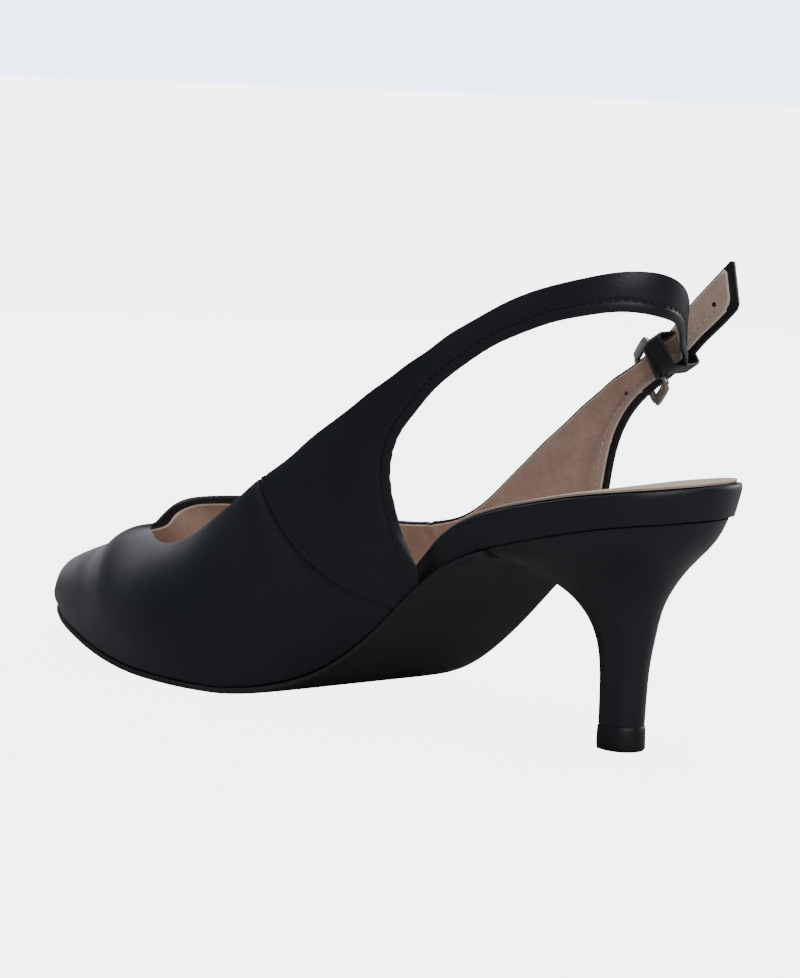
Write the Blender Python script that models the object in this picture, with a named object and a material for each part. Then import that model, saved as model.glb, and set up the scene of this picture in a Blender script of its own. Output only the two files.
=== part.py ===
"""Right-foot slingback court shoe: a lasted upper with a sling strap, on a wrapped footbed and a high slim heel."""

import bmesh
import bpy
import numpy as np

# Named sizes, metres. X runs to the toe, Y to the inner side of the foot, Z up.
# The origin is the middle of the top lift's ground face.
SHOE_LENGTH = 0.2442
BACK_OVERHANG = 0.0302
BALL_HALF_WIDTH = 0.0376
HEEL_RISE = 0.0632
OUTSOLE_THICKNESS = 0.0023
PIECE_GAP = 0.0003
UPPER_WALL = 0.0016
SOCK_THICKNESS = 0.0009
RIM_UNDERCUT = 0.0018
LIFT_HEIGHT = 0.0065
BUCKLE_LENGTH = 0.0130
BUCKLE_WIDTH = 0.0150
BUCKLE_TILT = 0.115
BUCKLE_CORNER = 0.0022
WIRE_RADIUS = 0.0007
KEEPER_WIDTH = 0.0048
KEEPER_WALL = 0.0010
KEEPER_BACK = 0.0010
KEEPER_LIFT = 0.0006
KEEPER_SIDE = -0.576
KEEPER_HALF_DEPTH = 0.0061
KEEPER_HALF_SPAN = 0.0073

SEAM_STEP = 0.0004
SEAM_WIDTH = 0.0005
FOLD_TAB = 0.0012
FOLD_RADIUS = WIRE_RADIUS + 1.9 * PIECE_GAP + UPPER_WALL
SOLE_TOP = OUTSOLE_THICKNESS + PIECE_GAP
OUTSOLE_END = 0.249
SKEW = 0.17

# Outline of the lasted edge. Along is a share of SHOE_LENGTH from the back, the sides are shares of BALL_HALF_WIDTH.
# Columns: along, medial side, lateral side.
OUTLINE = (
    (1.000, 0.066, 0.066),
    (0.975, 0.221, -0.096),
    (0.943, 0.362, -0.287),
    (0.902, 0.500, -0.452),
    (0.861, 0.628, -0.585),
    (0.779, 0.840, -0.809),
    (0.697, 0.973, -0.952),
    (0.636, 1.000, -0.997),
    (0.574, 0.926, -0.984),
    (0.513, 0.774, -0.899),
    (0.451, 0.673, -0.803),
    (0.369, 0.633, -0.726),
    (0.287, 0.644, -0.705),
    (0.206, 0.668, -0.697),
    (0.124, 0.686, -0.691),
    (0.083, 0.654, -0.660),
    (0.042, 0.532, -0.537),
    (0.017, 0.343, -0.346),
    (0.000, 0.000, 0.000),
)

# Height of the lasted edge along the middle line, above SOLE_TOP.
# Columns: along, height as a share of HEEL_RISE, rim thickness as a share of HEEL_RISE.
PROFILE = (
    (0.000, 0.972, 0.141),
    (0.062, 0.940, 0.139),
    (0.124, 0.892, 0.144),
    (0.185, 0.828, 0.150),
    (0.247, 0.747, 0.152),
    (0.287, 0.665, 0.152),
    (0.328, 0.541, 0.136),
    (0.369, 0.384, 0.108),
    (0.410, 0.244, 0.079),
    (0.451, 0.133, 0.060),
    (0.492, 0.059, 0.049),
    (0.533, 0.016, 0.043),
    (0.574, 0.000, 0.040),
    (0.636, 0.000, 0.040),
    (0.697, 0.000, 0.040),
    (0.779, 0.013, 0.040),
    (0.861, 0.038, 0.040),
    (0.943, 0.073, 0.040),
    (1.000, 0.098, 0.040),
)

# Sections of the upper that reach down to the lasted edge, from the toe back.
# Foot is the place on the edge. Top along, side and height give the section's top point. Lean, swell and full place the
# middle of the section between them: lean and full are shares of the way up, swell a share of BALL_HALF_WIDTH outward.
# Columns: foot, top along, top side, top height, lean, swell, full.
MEDIAL_LASTED = (
    (1.000, 1.000, 0.066, 0.101, 0.50, 0.000, 0.50),
    (0.995, 1.004, 0.064, 0.130, 0.75, 0.045, 0.50),
    (0.982, 1.004, 0.059, 0.179, 0.60, 0.080, 0.75),
    (0.955, 0.993, 0.043, 0.241, 0.55, 0.122, 0.90),
    (0.922, 0.964, 0.021, 0.310, 0.60, 0.197, 0.95),
    (0.889, 0.925, 0.000, 0.383, 0.80, 0.282, 0.98),
    (0.861, 0.883, -0.027, 0.459, 1.05, 0.362, 0.98),
    (0.826, 0.847, -0.066, 0.551, 1.30, 0.415, 0.96),
    (0.771, 0.818, 0.199, 0.547, 0.85, 0.356, 0.90),
    (0.689, 0.756, 0.513, 0.528, 0.60, 0.271, 0.78),
    (0.607, 0.685, 0.678, 0.595, 0.50, 0.229, 0.62),
    (0.525, 0.619, 0.771, 0.741, 0.48, 0.255, 0.46),
    (0.459, 0.580, 0.814, 0.845, 0.50, 0.293, 0.33),
    (0.414, 0.562, 0.824, 0.899, 0.52, 0.298, 0.27),
    (0.369, 0.548, 0.835, 0.930, 0.54, 0.309, 0.21),
    (0.345, 0.509, 0.827, 1.030, 0.50, 0.250, 0.27),
)

# Sections of the medial side above its free rear edge, then the sling strap round the back of the heel.
# Columns: low along, low side, low height, top along, top side, top height, swell.
MEDIAL_FREE = (
    (0.327, 0.707, 0.639, 0.472, 0.824, 1.146, 0.146),
    (0.343, 0.734, 0.753, 0.443, 0.814, 1.225, 0.085),
    (0.355, 0.761, 0.877, 0.416, 0.801, 1.301, 0.040),
    (0.362, 0.771, 0.995, 0.394, 0.785, 1.367, 0.029),
    (0.362, 0.771, 1.090, 0.373, 0.766, 1.424, 0.024),
    (0.353, 0.763, 1.196, 0.351, 0.737, 1.491, 0.021),
    (0.338, 0.750, 1.275, 0.330, 0.710, 1.547, 0.019),
    (0.314, 0.729, 1.386, 0.306, 0.684, 1.619, 0.016),
    (0.275, 0.702, 1.509, 0.270, 0.662, 1.701, 0.013),
    (0.238, 0.670, 1.603, 0.235, 0.630, 1.778, 0.011),
    (0.201, 0.628, 1.672, 0.199, 0.593, 1.840, 0.011),
    (0.167, 0.577, 1.725, 0.165, 0.548, 1.884, 0.008),
    (0.135, 0.508, 1.759, 0.133, 0.484, 1.919, 0.008),
    (0.102, 0.367, 1.783, 0.102, 0.362, 1.946, 0.008),
    (0.080, 0.133, 1.763, 0.076, 0.138, 1.937, 0.008),
    (0.083, -0.080, 1.725, 0.075, -0.080, 1.886, 0.008),
    (0.098, -0.266, 1.661, 0.088, -0.266, 1.813, 0.008),
    (0.118, -0.404, 1.593, 0.112, -0.415, 1.742, 0.008),
    (0.134, -0.527, 1.528, 0.145, -0.545, 1.665, 0.005),
    (0.149, -0.604, 1.491, 0.169, -0.609, 1.601, 0.003),
)

LATERAL_LASTED = (
    (1.000, 1.000, 0.066, 0.101, 0.50, 0.000, 0.50),
    (0.995, 1.004, 0.064, 0.130, 0.75, -0.045, 0.50),
    (0.982, 1.004, 0.059, 0.179, 0.60, -0.080, 0.75),
    (0.955, 0.993, 0.043, 0.241, 0.55, -0.122, 0.90),
    (0.922, 0.964, 0.021, 0.310, 0.60, -0.186, 0.95),
    (0.889, 0.925, 0.000, 0.383, 0.80, -0.261, 0.98),
    (0.861, 0.883, -0.027, 0.459, 1.05, -0.324, 0.93),
    (0.826, 0.847, -0.066, 0.551, 1.30, -0.362, 0.88),
    (0.787, 0.835, -0.279, 0.617, 0.95, -0.330, 0.87),
    (0.734, 0.805, -0.505, 0.661, 0.70, -0.255, 0.87),
    (0.664, 0.750, -0.705, 0.665, 0.55, -0.186, 0.76),
    (0.586, 0.672, -0.806, 0.655, 0.48, -0.160, 0.64),
    (0.513, 0.586, -0.840, 0.649, 0.45, -0.160, 0.54),
    (0.447, 0.517, -0.830, 0.674, 0.43, -0.160, 0.47),
    (0.386, 0.468, -0.814, 0.728, 0.44, -0.133, 0.44),
    (0.328, 0.427, -0.803, 0.826, 0.48, -0.080, 0.42),
)

# Sections of the lateral side, then its buckling end and the free tail beyond the buckle.
LATERAL_FREE = (
    (0.287, -0.755, 0.674, 0.398, -0.795, 0.927, -0.040),
    (0.261, -0.755, 0.790, 0.371, -0.790, 1.022, -0.032),
    (0.250, -0.755, 0.908, 0.345, -0.782, 1.114, -0.027),
    (0.245, -0.755, 1.027, 0.316, -0.771, 1.206, -0.021),
    (0.238, -0.750, 1.138, 0.290, -0.755, 1.291, -0.016),
    (0.225, -0.739, 1.244, 0.263, -0.739, 1.370, -0.011),
    (0.207, -0.715, 1.326, 0.239, -0.710, 1.437, -0.008),
    (0.186, -0.686, 1.392, 0.212, -0.684, 1.497, -0.003),
    (0.162, -0.678, 1.460, 0.186, -0.676, 1.571, 0.000),
    (0.138, -0.686, 1.541, 0.163, -0.684, 1.658, 0.000),
    (0.118, -0.707, 1.628, 0.144, -0.705, 1.758, 0.000),
    (0.100, -0.721, 1.696, 0.124, -0.721, 1.845, 0.000),
    (0.083, -0.742, 1.769, 0.097, -0.745, 1.959, 0.000),
)

# Rings of the heel from its seat to the top lift, each a D with its flat side to the front.
# Along values are shares of SHOE_LENGTH from the origin, heights shares of HEEL_RISE above the floor, widths shares of
# BALL_HALF_WIDTH. Columns: front along, front height, front width, back along, back height, side width.
HEEL_RINGS = (
    (0.1215, 0.776, 0.600, -0.1130, 0.995, 0.625),
    (0.1130, 0.750, 0.480, -0.1055, 0.920, 0.565),
    (0.0990, 0.720, 0.372, -0.0915, 0.845, 0.470),
    (0.0815, 0.690, 0.298, -0.0735, 0.775, 0.385),
    (0.0620, 0.652, 0.236, -0.0590, 0.706, 0.310),
    (0.0440, 0.600, 0.190, -0.0470, 0.635, 0.255),
    (0.0300, 0.535, 0.162, -0.0395, 0.560, 0.218),
    (0.0212, 0.462, 0.147, -0.0350, 0.480, 0.194),
    (0.0163, 0.370, 0.138, -0.0305, 0.378, 0.170),
    (0.0146, 0.240, 0.134, -0.0280, 0.245, 0.154),
    (0.0143, 0.112, 0.133, -0.0270, 0.112, 0.148),
)

SEAM_ROW = 14
STATION_SPACING = 0.0038
POINTS_UP_SECTION = 8
OUTLINE_STATIONS = 52


def spline(knots, values):
    """A natural cubic through the values, read at any place and straight beyond both ends."""
    knots = np.asarray(knots, float)
    values = np.asarray(values, float)
    step = np.diff(knots)
    count = len(knots)
    matrix = np.eye(count)
    right = np.zeros((count,) + values.shape[1:])
    slope = np.diff(values, axis=0) / step.reshape((-1,) + (1,) * (values.ndim - 1))
    for i in range(1, count - 1):
        matrix[i, i - 1 : i + 2] = step[i - 1], 2 * (step[i - 1] + step[i]), step[i]
        right[i] = 6 * (slope[i] - slope[i - 1])
    bend = np.linalg.solve(matrix, right)

    def read(place):
        place = np.asarray(place, float)
        i = np.clip(np.searchsorted(knots, place) - 1, 0, count - 2)
        width = step[i]
        b = (np.clip(place, knots[0], knots[-1]) - knots[i]) / width
        a = 1 - b
        shape = a.shape + (1,) * (values.ndim - 1)
        a, b, w = a.reshape(shape), b.reshape(shape), width.reshape(shape)
        return a * values[i] + b * values[i + 1] + ((a**3 - a) * bend[i] + (b**3 - b) * bend[i + 1]) * w * w / 6

    return read


def turn_of(along):
    """Place along the shoe as an angle, so that the outline closes round at both ends."""
    return np.arccos(np.clip(2 * np.asarray(along, float) - 1, -1, 1))


OUTLINE_COLUMNS = np.array(OUTLINE)
PROFILE_COLUMNS = np.array(PROFILE)
MEDIAL_SIDE = spline(turn_of(OUTLINE_COLUMNS[:, 0]), OUTLINE_COLUMNS[:, 1] * BALL_HALF_WIDTH)
LATERAL_SIDE = spline(turn_of(OUTLINE_COLUMNS[:, 0]), OUTLINE_COLUMNS[:, 2] * BALL_HALF_WIDTH)
EDGE_HEIGHT = spline(PROFILE_COLUMNS[:, 0], PROFILE_COLUMNS[:, 1] * HEEL_RISE)
RIM_THICKNESS = spline(PROFILE_COLUMNS[:, 0], PROFILE_COLUMNS[:, 2] * HEEL_RISE)


def x_of(along):
    return SHOE_LENGTH * np.asarray(along) - BACK_OVERHANG


def along_of(x):
    return (np.asarray(x) + BACK_OVERHANG) / SHOE_LENGTH


def smooth(value, start, end):
    """0 before start, 1 after end, eased between."""
    t = np.clip((np.asarray(value, float) - start) / (end - start), 0, 1)
    return t * t * (3 - 2 * t)


def edge_z(x, y):
    """Height of the surface that the upper is lasted to: level lines lean forward on the medial side."""
    along = along_of(x)
    lean = SKEW * smooth(along, 0.14, 0.34) * np.asarray(y) / SHOE_LENGTH
    return SOLE_TOP + np.maximum(EDGE_HEIGHT(np.clip(along - lean, 0, 1)), 0)


def point_of(along, side, height):
    return np.array([x_of(along), BALL_HALF_WIDTH * side, SOLE_TOP + HEEL_RISE * height])


def outline_at(along, inset):
    """The two sides of the outline at these places, moved in along their own normals."""
    turn = turn_of(along)
    sides = []
    for side, sign in ((MEDIAL_SIDE, 1), (LATERAL_SIDE, -1)):
        here = np.stack([x_of(along), side(turn)], axis=1)
        before = np.stack([x_of((1 + np.cos(turn - 0.004)) / 2), side(np.abs(turn - 0.004))], axis=1)
        after = np.stack([x_of((1 + np.cos(turn + 0.004)) / 2), side(np.minimum(turn + 0.004, np.pi))], axis=1)
        along_edge = after - before
        along_edge[0] = (0, sign)
        normal = np.stack([along_edge[:, 1], -along_edge[:, 0]], axis=1) * sign
        normal /= np.linalg.norm(normal, axis=1)[:, None]
        if along[0] >= 1:
            normal[0] = (1, 0)
        if along[-1] <= 0:
            normal[-1] = (-1, 0)
        amount = inset[0 if sign > 0 else 1]
        sides.append(here - normal * np.broadcast_to(amount, len(here))[:, None])
    if along[0] >= 1:
        sides[0][0] = sides[1][0] = (sides[0][0] + sides[1][0]) / 2
    if along[-1] <= 0:
        sides[0][-1] = sides[1][-1] = (sides[0][-1] + sides[1][-1]) / 2
    return sides


def bezier(low, middle, top, share):
    return (1 - share) ** 2 * low + 2 * share * (1 - share) * middle + share**2 * top


def control_rows(lasted, free, sign):
    """The low, middle and top points of every section on one side, from the toe to the strap's end."""
    low, middle, top = [], [], []
    for foot, *head, lean, swell, full in lasted:
        side = (MEDIAL_SIDE if sign > 0 else LATERAL_SIDE)(turn_of(foot))
        base = np.array([x_of(foot), side, edge_z(x_of(foot), side)])
        crown = point_of(*head)
        share = np.array([lean, 0.5, full])
        low.append(base)
        middle.append(base + share * (crown - base) + (0, swell * BALL_HALF_WIDTH, 0))
        top.append(crown)
    for low_along, low_side, low_height, top_along, top_side, top_height, swell in free:
        base = point_of(low_along, low_side, low_height)
        crown = point_of(top_along, top_side, top_height)
        low.append(base)
        middle.append((base + crown) / 2 + (0, swell * BALL_HALF_WIDTH, 0))
        top.append(crown)
    return np.array(low), np.array(middle), np.array(top)


def fold_rows(low, middle, top, radius, tab):
    """Further rows that turn the strap's end inward about a bar and lay its tab back along the inner face."""
    across = top[-1] - low[-1]
    across /= np.linalg.norm(across)
    ahead = middle[-1] - middle[-2]
    ahead -= across * ahead.dot(across)
    ahead /= np.linalg.norm(ahead)
    inward = np.cross(across, ahead)
    inward *= np.sign(inward[1])
    rows = [[], [], []]
    places = [(radius * np.sin(a), radius * (1 - np.cos(a))) for a in np.radians(np.arange(30, 181, 30))]
    places += [(-0.45 * tab, 1.97 * radius), (-tab, 1.90 * radius)]
    for forward, aside in places:
        for rail, out in zip((low, middle, top), rows):
            out.append(rail[-1] + ahead * forward + inward * aside)
    rails = [np.vstack([rail, out]) for rail, out in zip((low, middle, top), rows)]
    return rails, (middle[-1] + inward * radius, across, ahead, inward)


def places_of(low, middle, top, shared):
    """Distance of each section along the side, equal on both sides up to the throat."""
    centre = (low + 2 * middle + top) / 4
    place = np.concatenate([[0], np.cumsum(np.linalg.norm(np.diff(centre, axis=0), axis=1))])
    count = len(shared)
    return np.concatenate([shared, place[count:] + shared[-1] - place[count - 1]])


def stations_of(place):
    """Places to draw a section at: each row of the tables, with enough between them."""
    stations = [place[0]]
    for start, end in zip(place, place[1:]):
        parts = max(1, round((end - start) / STATION_SPACING))
        stations.extend(start + (end - start) * (k + 1) / parts for k in range(parts))
    return np.array(stations)


def half_grid(side, rails, feet, place, crown_top, topline, split):
    """Points of one side's outer surface: a row per station, from the lower edge up to the crown or top edge."""
    low, middle, _ = rails
    sign = 1 if side == "medial" else -1
    stations = stations_of(place)
    if sign > 0:
        seam = place[SEAM_ROW]
        stations = np.sort(np.append(stations, seam + SEAM_WIDTH))
    front = stations[stations <= split + 1e-9]
    back = stations[stations > split + 1e-9]
    lower = spline(place, low)(stations)
    lasted = stations <= place[len(feet) - 1] + 1e-9
    foot = spline(place[: len(feet)], np.array(feet))(stations[lasted])
    width = (MEDIAL_SIDE if sign > 0 else LATERAL_SIDE)(turn_of(foot))
    lower[lasted] = np.stack([x_of(foot), width, edge_z(x_of(foot), width)], axis=1)
    inner = spline(place, middle)(stations)
    upper = np.vstack([crown_top(front), topline(sign * (back - split))])
    share = np.linspace(0, 1, POINTS_UP_SECTION)[None, :, None]
    grid = bezier(lower[:, None], inner[:, None], upper[:, None], share)
    if sign > 0:
        raised = smooth(stations, seam, seam + SEAM_WIDTH) * (1 - smooth(stations, seam + 0.006, seam + 0.030))
        along = np.gradient(grid, axis=0)
        up = np.gradient(grid, axis=1)
        normal = np.cross(up, along)
        normal /= np.maximum(np.linalg.norm(normal, axis=2), 1e-9)[..., None]
        normal *= np.sign(normal[..., 1:2] + 1e-12)
        grid = grid + normal * SEAM_STEP * raised[:, None, None]
    return grid, len(front)


def upper_surface():
    """The outer surface as two grids that share the crown line from the toe to the throat."""
    medial = control_rows(MEDIAL_LASTED, MEDIAL_FREE, 1)
    lateral = control_rows(LATERAL_LASTED, LATERAL_FREE, -1)
    medial, fold = fold_rows(*medial, radius=FOLD_RADIUS, tab=FOLD_TAB)
    crown = 8
    mean = sum((low + 2 * middle + top)[:crown] / 8 for low, middle, top in (medial, lateral))
    shared = np.concatenate([[0], np.cumsum(np.linalg.norm(np.diff(mean, axis=0), axis=1))])
    crown_top = spline(shared, medial[2][:crown])
    split = shared[-1]
    inner_place, outer_place = places_of(*medial, shared), places_of(*lateral, shared)
    topline = spline(
        np.concatenate([split - outer_place[: crown - 2 : -1], inner_place[crown:] - split]),
        np.vstack([lateral[2][: crown - 2 : -1], medial[2][crown:]]),
    )
    inner_feet = [row[0] for row in MEDIAL_LASTED]
    outer_feet = [row[0] for row in LATERAL_LASTED]
    return (
        half_grid("medial", medial, inner_feet, inner_place, crown_top, topline, split),
        half_grid("lateral", lateral, outer_feet, outer_place, crown_top, topline, split),
        fold,
    )


def plain_material(name, colour, roughness, metallic=0.0):
    material = bpy.data.materials.new(name)
    material.use_nodes = True
    shader = material.node_tree.nodes["Principled BSDF"]
    shader.inputs["Base Color"].default_value = (*colour, 1)
    shader.inputs["Roughness"].default_value = roughness
    shader.inputs["Metallic"].default_value = metallic
    return material


def face_out(data):
    bmesh.ops.recalc_face_normals(data, faces=data.faces)
    if data.calc_volume(signed=True) < 0:
        bmesh.ops.reverse_faces(data, faces=data.faces)


def add_object(name, mesh_data, material):
    mesh = bpy.data.meshes.new(name)
    mesh_data.to_mesh(mesh)
    mesh_data.free()
    mesh.materials.append(material)
    body = bpy.data.objects.new(name, mesh)
    bpy.context.scene.collection.objects.link(body)
    return body


def shell(name, points, faces, wall, material):
    """A closed wall: the faces given are its outer side, and the inner side lies one wall inside it."""
    data = bmesh.new()
    outer = [data.verts.new(p) for p in points]
    for face in faces:
        corners = []
        for i in face:
            if outer[i] not in corners:
                corners.append(outer[i])
        if len(corners) > 2:
            data.faces.new(corners)
    data.normal_update()
    inner = {v: data.verts.new(v.co - v.normal * wall * min(v.calc_shell_factor(), 1.3)) for v in outer}
    rim = [edge for edge in data.edges if len(edge.link_faces) == 1]
    ends = []
    for edge in rim:
        loop = edge.link_loops[0]
        ends.append((loop.vert, loop.link_loop_next.vert))
    for face in list(data.faces):
        data.faces.new([inner[v] for v in reversed(face.verts)])
    for start, end in ends:
        data.faces.new([end, start, inner[start], inner[end]])
    return add_object(name, data, material)


def make_upper(surface, material):
    (medial, crown_rows), (lateral, _), _ = surface
    points, faces, index = [], [], {}

    def number(grid_name, grid, row, column):
        if column == POINTS_UP_SECTION - 1 and row < crown_rows:
            key = ("crown", row)
        elif column == 0 and row == 0:
            key = "tip"
        elif row == 0:
            key = ("tip", column)
        else:
            key = (grid_name, row, column)
        if key not in index:
            index[key] = len(points)
            points.append(grid[row, column])
        return index[key]

    for grid_name, grid in (("medial", medial), ("lateral", lateral)):
        for row in range(len(grid) - 1):
            for column in range(POINTS_UP_SECTION - 1):
                corners = [
                    number(grid_name, grid, row, column),
                    number(grid_name, grid, row + 1, column),
                    number(grid_name, grid, row + 1, column + 1),
                    number(grid_name, grid, row, column + 1),
                ]
                faces.append(corners if grid_name == "medial" else corners[::-1])
    return shell("upper", points, faces, UPPER_WALL, material)


def slab(name, material, start, end, rings, across=4):
    """A solid between outline rings, listed from the underside up.

    Each ring is a pair of insets, one for each side, and a height over the ground at a point. The first ring is
    filled as the underside and the last as the top.
    """
    turns = np.linspace(turn_of(start), turn_of(end), OUTLINE_STATIONS)
    along = (1 + np.cos(turns)) / 2
    data = bmesh.new()
    tip_start, tip_end = start >= 1, end <= 0
    loops, caps = [], []
    for inset, height in rings:
        medial, lateral = outline_at(along, [inset(along, sign) for sign in (1, -1)])
        rows = []
        cap = []
        for i, (m, l) in enumerate(zip(medial, lateral)):
            if (i == 0 and tip_start) or (i == len(along) - 1 and tip_end):
                rows.append([data.verts.new((*m, float(height(*m))))] * 2)
            else:
                rows.append([data.verts.new((*p, float(height(*p)))) for p in (m, l)])
            cap.append((m, l))
        loops.append(rows)
        caps.append(cap)
    last = len(along) - 1

    def add(corners):
        kept = [v for k, v in enumerate(corners) if v not in corners[:k]]
        if len(kept) > 2:
            data.faces.new(kept)

    for below, above in zip(loops, loops[1:]):
        for i in range(last):
            add([below[i][0], below[i + 1][0], above[i + 1][0], above[i][0]])
            add([below[i + 1][1], below[i][1], above[i][1], above[i + 1][1]])
    ends = {}
    for which, flip in ((0, False), (len(rings) - 1, True)):
        height = rings[which][1]
        rows = []
        for i, (m, l) in enumerate(caps[which]):
            first, second = loops[which][i]
            if first is second:
                rows.append([first] * (across + 1))
                continue
            row = [first]
            for k in range(1, across):
                p = m + (l - m) * k / across
                row.append(data.verts.new((*p, float(height(*p)))))
            rows.append(row + [second])
        for a, b in zip(rows, rows[1:]):
            for k in range(across):
                quad = [a[k], a[k + 1], b[k + 1], b[k]]
                add(quad[::-1] if flip else quad)
        ends[which] = (rows[0], rows[-1])
    bottom, top = ends[0], ends[len(rings) - 1]
    for station, tip, order in ((0, tip_start, 1), (-1, tip_end, -1)):
        if tip:
            continue
        low_row, high_row = bottom[0 if station == 0 else 1], top[0 if station == 0 else 1]
        face = list(low_row)
        face += [loop[station][1] for loop in loops[1:-1]]
        face += list(high_row)[::-1]
        face += [loop[station][0] for loop in loops[1:-1]][::-1]
        data.faces.new(face[::order])
    face_out(data)
    return add_object(name, data, material)


def flat_inset(amount):
    return lambda along, sign: np.full(len(along), amount)


def footbed_inset(more):
    """Inset of the footbed: the full outline at the seat, and inside the upper's wall further forward."""
    room = UPPER_WALL + 2.4 * PIECE_GAP

    def inset(along, sign):
        start, end = (0.352, 0.318) if sign > 0 else (0.312, 0.275)
        return more + room * smooth(along, end, start)

    return inset


def rim_top(x, y):
    return edge_z(x, y) + RIM_THICKNESS(along_of(x))


def make_outsole(material):
    def under(x, y):
        return edge_z(x, y) - SOLE_TOP

    rings = [
        (flat_inset(0.0006), under),
        (flat_inset(-0.0003), lambda x, y: under(x, y) + 0.0007),
        (flat_inset(-0.0003), lambda x, y: under(x, y) + OUTSOLE_THICKNESS - 0.0005),
        (flat_inset(0.0003), lambda x, y: under(x, y) + OUTSOLE_THICKNESS - 0.00005),
    ]
    return slab("outsole", material, 1.0, OUTSOLE_END, rings)


def make_footbed(material):
    rings = [
        (footbed_inset(RIM_UNDERCUT), lambda x, y: edge_z(x, y) + 0.4 * PIECE_GAP),
        (footbed_inset(RIM_UNDERCUT * 0.45), lambda x, y: edge_z(x, y) + 0.45 * RIM_THICKNESS(along_of(x))),
        (footbed_inset(0.0), lambda x, y: edge_z(x, y) + 0.84 * RIM_THICKNESS(along_of(x))),
        (footbed_inset(0.0004), lambda x, y: edge_z(x, y) + 0.95 * RIM_THICKNESS(along_of(x))),
        (footbed_inset(0.0013), rim_top),
    ]
    return slab("footbed", material, 1.0, 0.0, rings)


def make_sock(material):
    def lifted(more):
        return lambda x, y: rim_top(x, y) + more

    rings = [
        (footbed_inset(0.0017), lifted(1.3 * PIECE_GAP)),
        (footbed_inset(0.0016), lifted(1.3 * PIECE_GAP + 0.6 * SOCK_THICKNESS)),
        (footbed_inset(0.0021), lifted(1.3 * PIECE_GAP + SOCK_THICKNESS)),
    ]
    return slab("sock", material, 0.985, 0.0, rings)


def d_ring(front, back, front_width, side_width, count=34):
    """Points of a D: a straight front edge, sides that widen from it and a round back. All in the plane of front and back."""
    front, back = np.array(front), np.array(back)
    points = []
    for t in np.linspace(-1, 1, 7)[1:-1]:
        points.append((0.0, t * front_width))
    sides = []
    for share in np.linspace(0, 1, 6)[:-1]:
        sides.append((0.42 * share, front_width + (side_width - front_width) * np.sin(np.pi / 2 * share)))
    for angle in np.linspace(0, np.pi / 2, 10):
        sides.append((0.42 + 0.58 * np.sin(angle), side_width * np.cos(angle)))
    points += sides[:-1]
    points.append((1.0, 0.0))
    points += [(u, -w) for u, w in sides[:-1]][::-1]
    result = []
    for u, w in points:
        x, z = front + (back - front) * u
        result.append((x, w, z))
    return np.array(result)


def ring_stack(name, rings, material):
    """A solid through rings of equal point count, closed by a flat face at each end."""
    data = bmesh.new()
    loops = [[data.verts.new(p) for p in ring] for ring in rings]
    count = len(loops[0])
    for a, b in zip(loops, loops[1:]):
        for k in range(count):
            data.faces.new([a[k], a[(k + 1) % count], b[(k + 1) % count], b[k]])
    data.faces.new(loops[0][::-1])
    data.faces.new(loops[-1])
    face_out(data)
    return add_object(name, data, material)


def heel_rings():
    rows = np.array(HEEL_RINGS) * (SHOE_LENGTH, HEEL_RISE, BALL_HALF_WIDTH, SHOE_LENGTH, HEEL_RISE, BALL_HALF_WIDTH)
    middle = (rows[:, 0:2] + rows[:, 3:5]) / 2
    place = np.concatenate([[0], np.cumsum(np.linalg.norm(np.diff(middle, axis=0), axis=1))])
    stations = np.linspace(0, place[-1], 24)
    read = spline(place, rows)(stations)
    return [d_ring(r[0:2], r[3:5], r[2], r[5]) for r in read]


def make_heel(material):
    rings = heel_rings()
    top = rings[0]
    seat = []
    for inset, drop in ((0.0016, 1.2 * PIECE_GAP), (0.0016, 0.0012)):
        ring = top.copy()
        middle = ring[:, :2].mean(axis=0)
        away = ring[:, :2] - middle
        reach = np.linalg.norm(away, axis=1)[:, None]
        ring[:, :2] = middle + away * (1 - inset / reach)
        ring[:, 2] = edge_z(ring[:, 0], ring[:, 1]) - drop
        seat.append(ring)
    shoulder = top.copy()
    shoulder[:, 2] = edge_z(top[:, 0], top[:, 1]) - 0.0013
    return ring_stack("heel", seat + [shoulder] + rings[1:], material)


def make_top_lift(material):
    ring = heel_rings()[-1]
    rings = []
    for grow, z in ((0.0, LIFT_HEIGHT), (0.0003, LIFT_HEIGHT - 0.0004), (0.0004, 0.0005), (0.0, 0.0)):
        shape = ring.copy()
        middle = shape[:, :2].mean(axis=0)
        away = shape[:, :2] - middle
        reach = np.linalg.norm(away, axis=1)[:, None]
        shape[:, :2] = middle + away * (1 + grow / reach)
        shape[:, 2] = z
        rings.append(shape)
    return ring_stack("top_lift", rings, material)


def rounded_rectangle(centre, one, other, half_one, half_other, corner, steps=4):
    """Points round a rectangle with round corners, in the plane of two directions."""
    points = []
    for quarter, (i, j) in enumerate(((1, 1), (-1, 1), (-1, -1), (1, -1))):
        for k in range(steps + 1):
            angle = np.pi / 2 * (quarter + k / steps)
            reach_one = i * (half_one - corner) + corner * np.cos(angle)
            reach_other = j * (half_other - corner) + corner * np.sin(angle)
            points.append(centre + one * reach_one + other * reach_other)
    return np.array(points)


def closed_loop(name, path, profile, plane, material):
    """A profile of (out, aside) offsets swept round a closed path; aside is along the path plane's normal."""
    count, sides = len(path), len(profile)
    data = bmesh.new()
    loops = []
    for i in range(count):
        ahead = path[(i + 1) % count] - path[i - 1]
        out = np.cross(ahead, plane)
        out /= np.linalg.norm(out)
        loops.append([data.verts.new(path[i] + out * a + plane * b) for a, b in profile])
    for a, b in zip(loops, loops[1:] + loops[:1]):
        for k in range(sides):
            data.faces.new([a[k], a[(k + 1) % sides], b[(k + 1) % sides], b[k]])
    face_out(data)
    return add_object(name, data, material)


def round_profile(radius, sides=8):
    angles = np.arange(sides) * 2 * np.pi / sides
    return [(radius * np.cos(a), radius * np.sin(a)) for a in angles]


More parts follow.
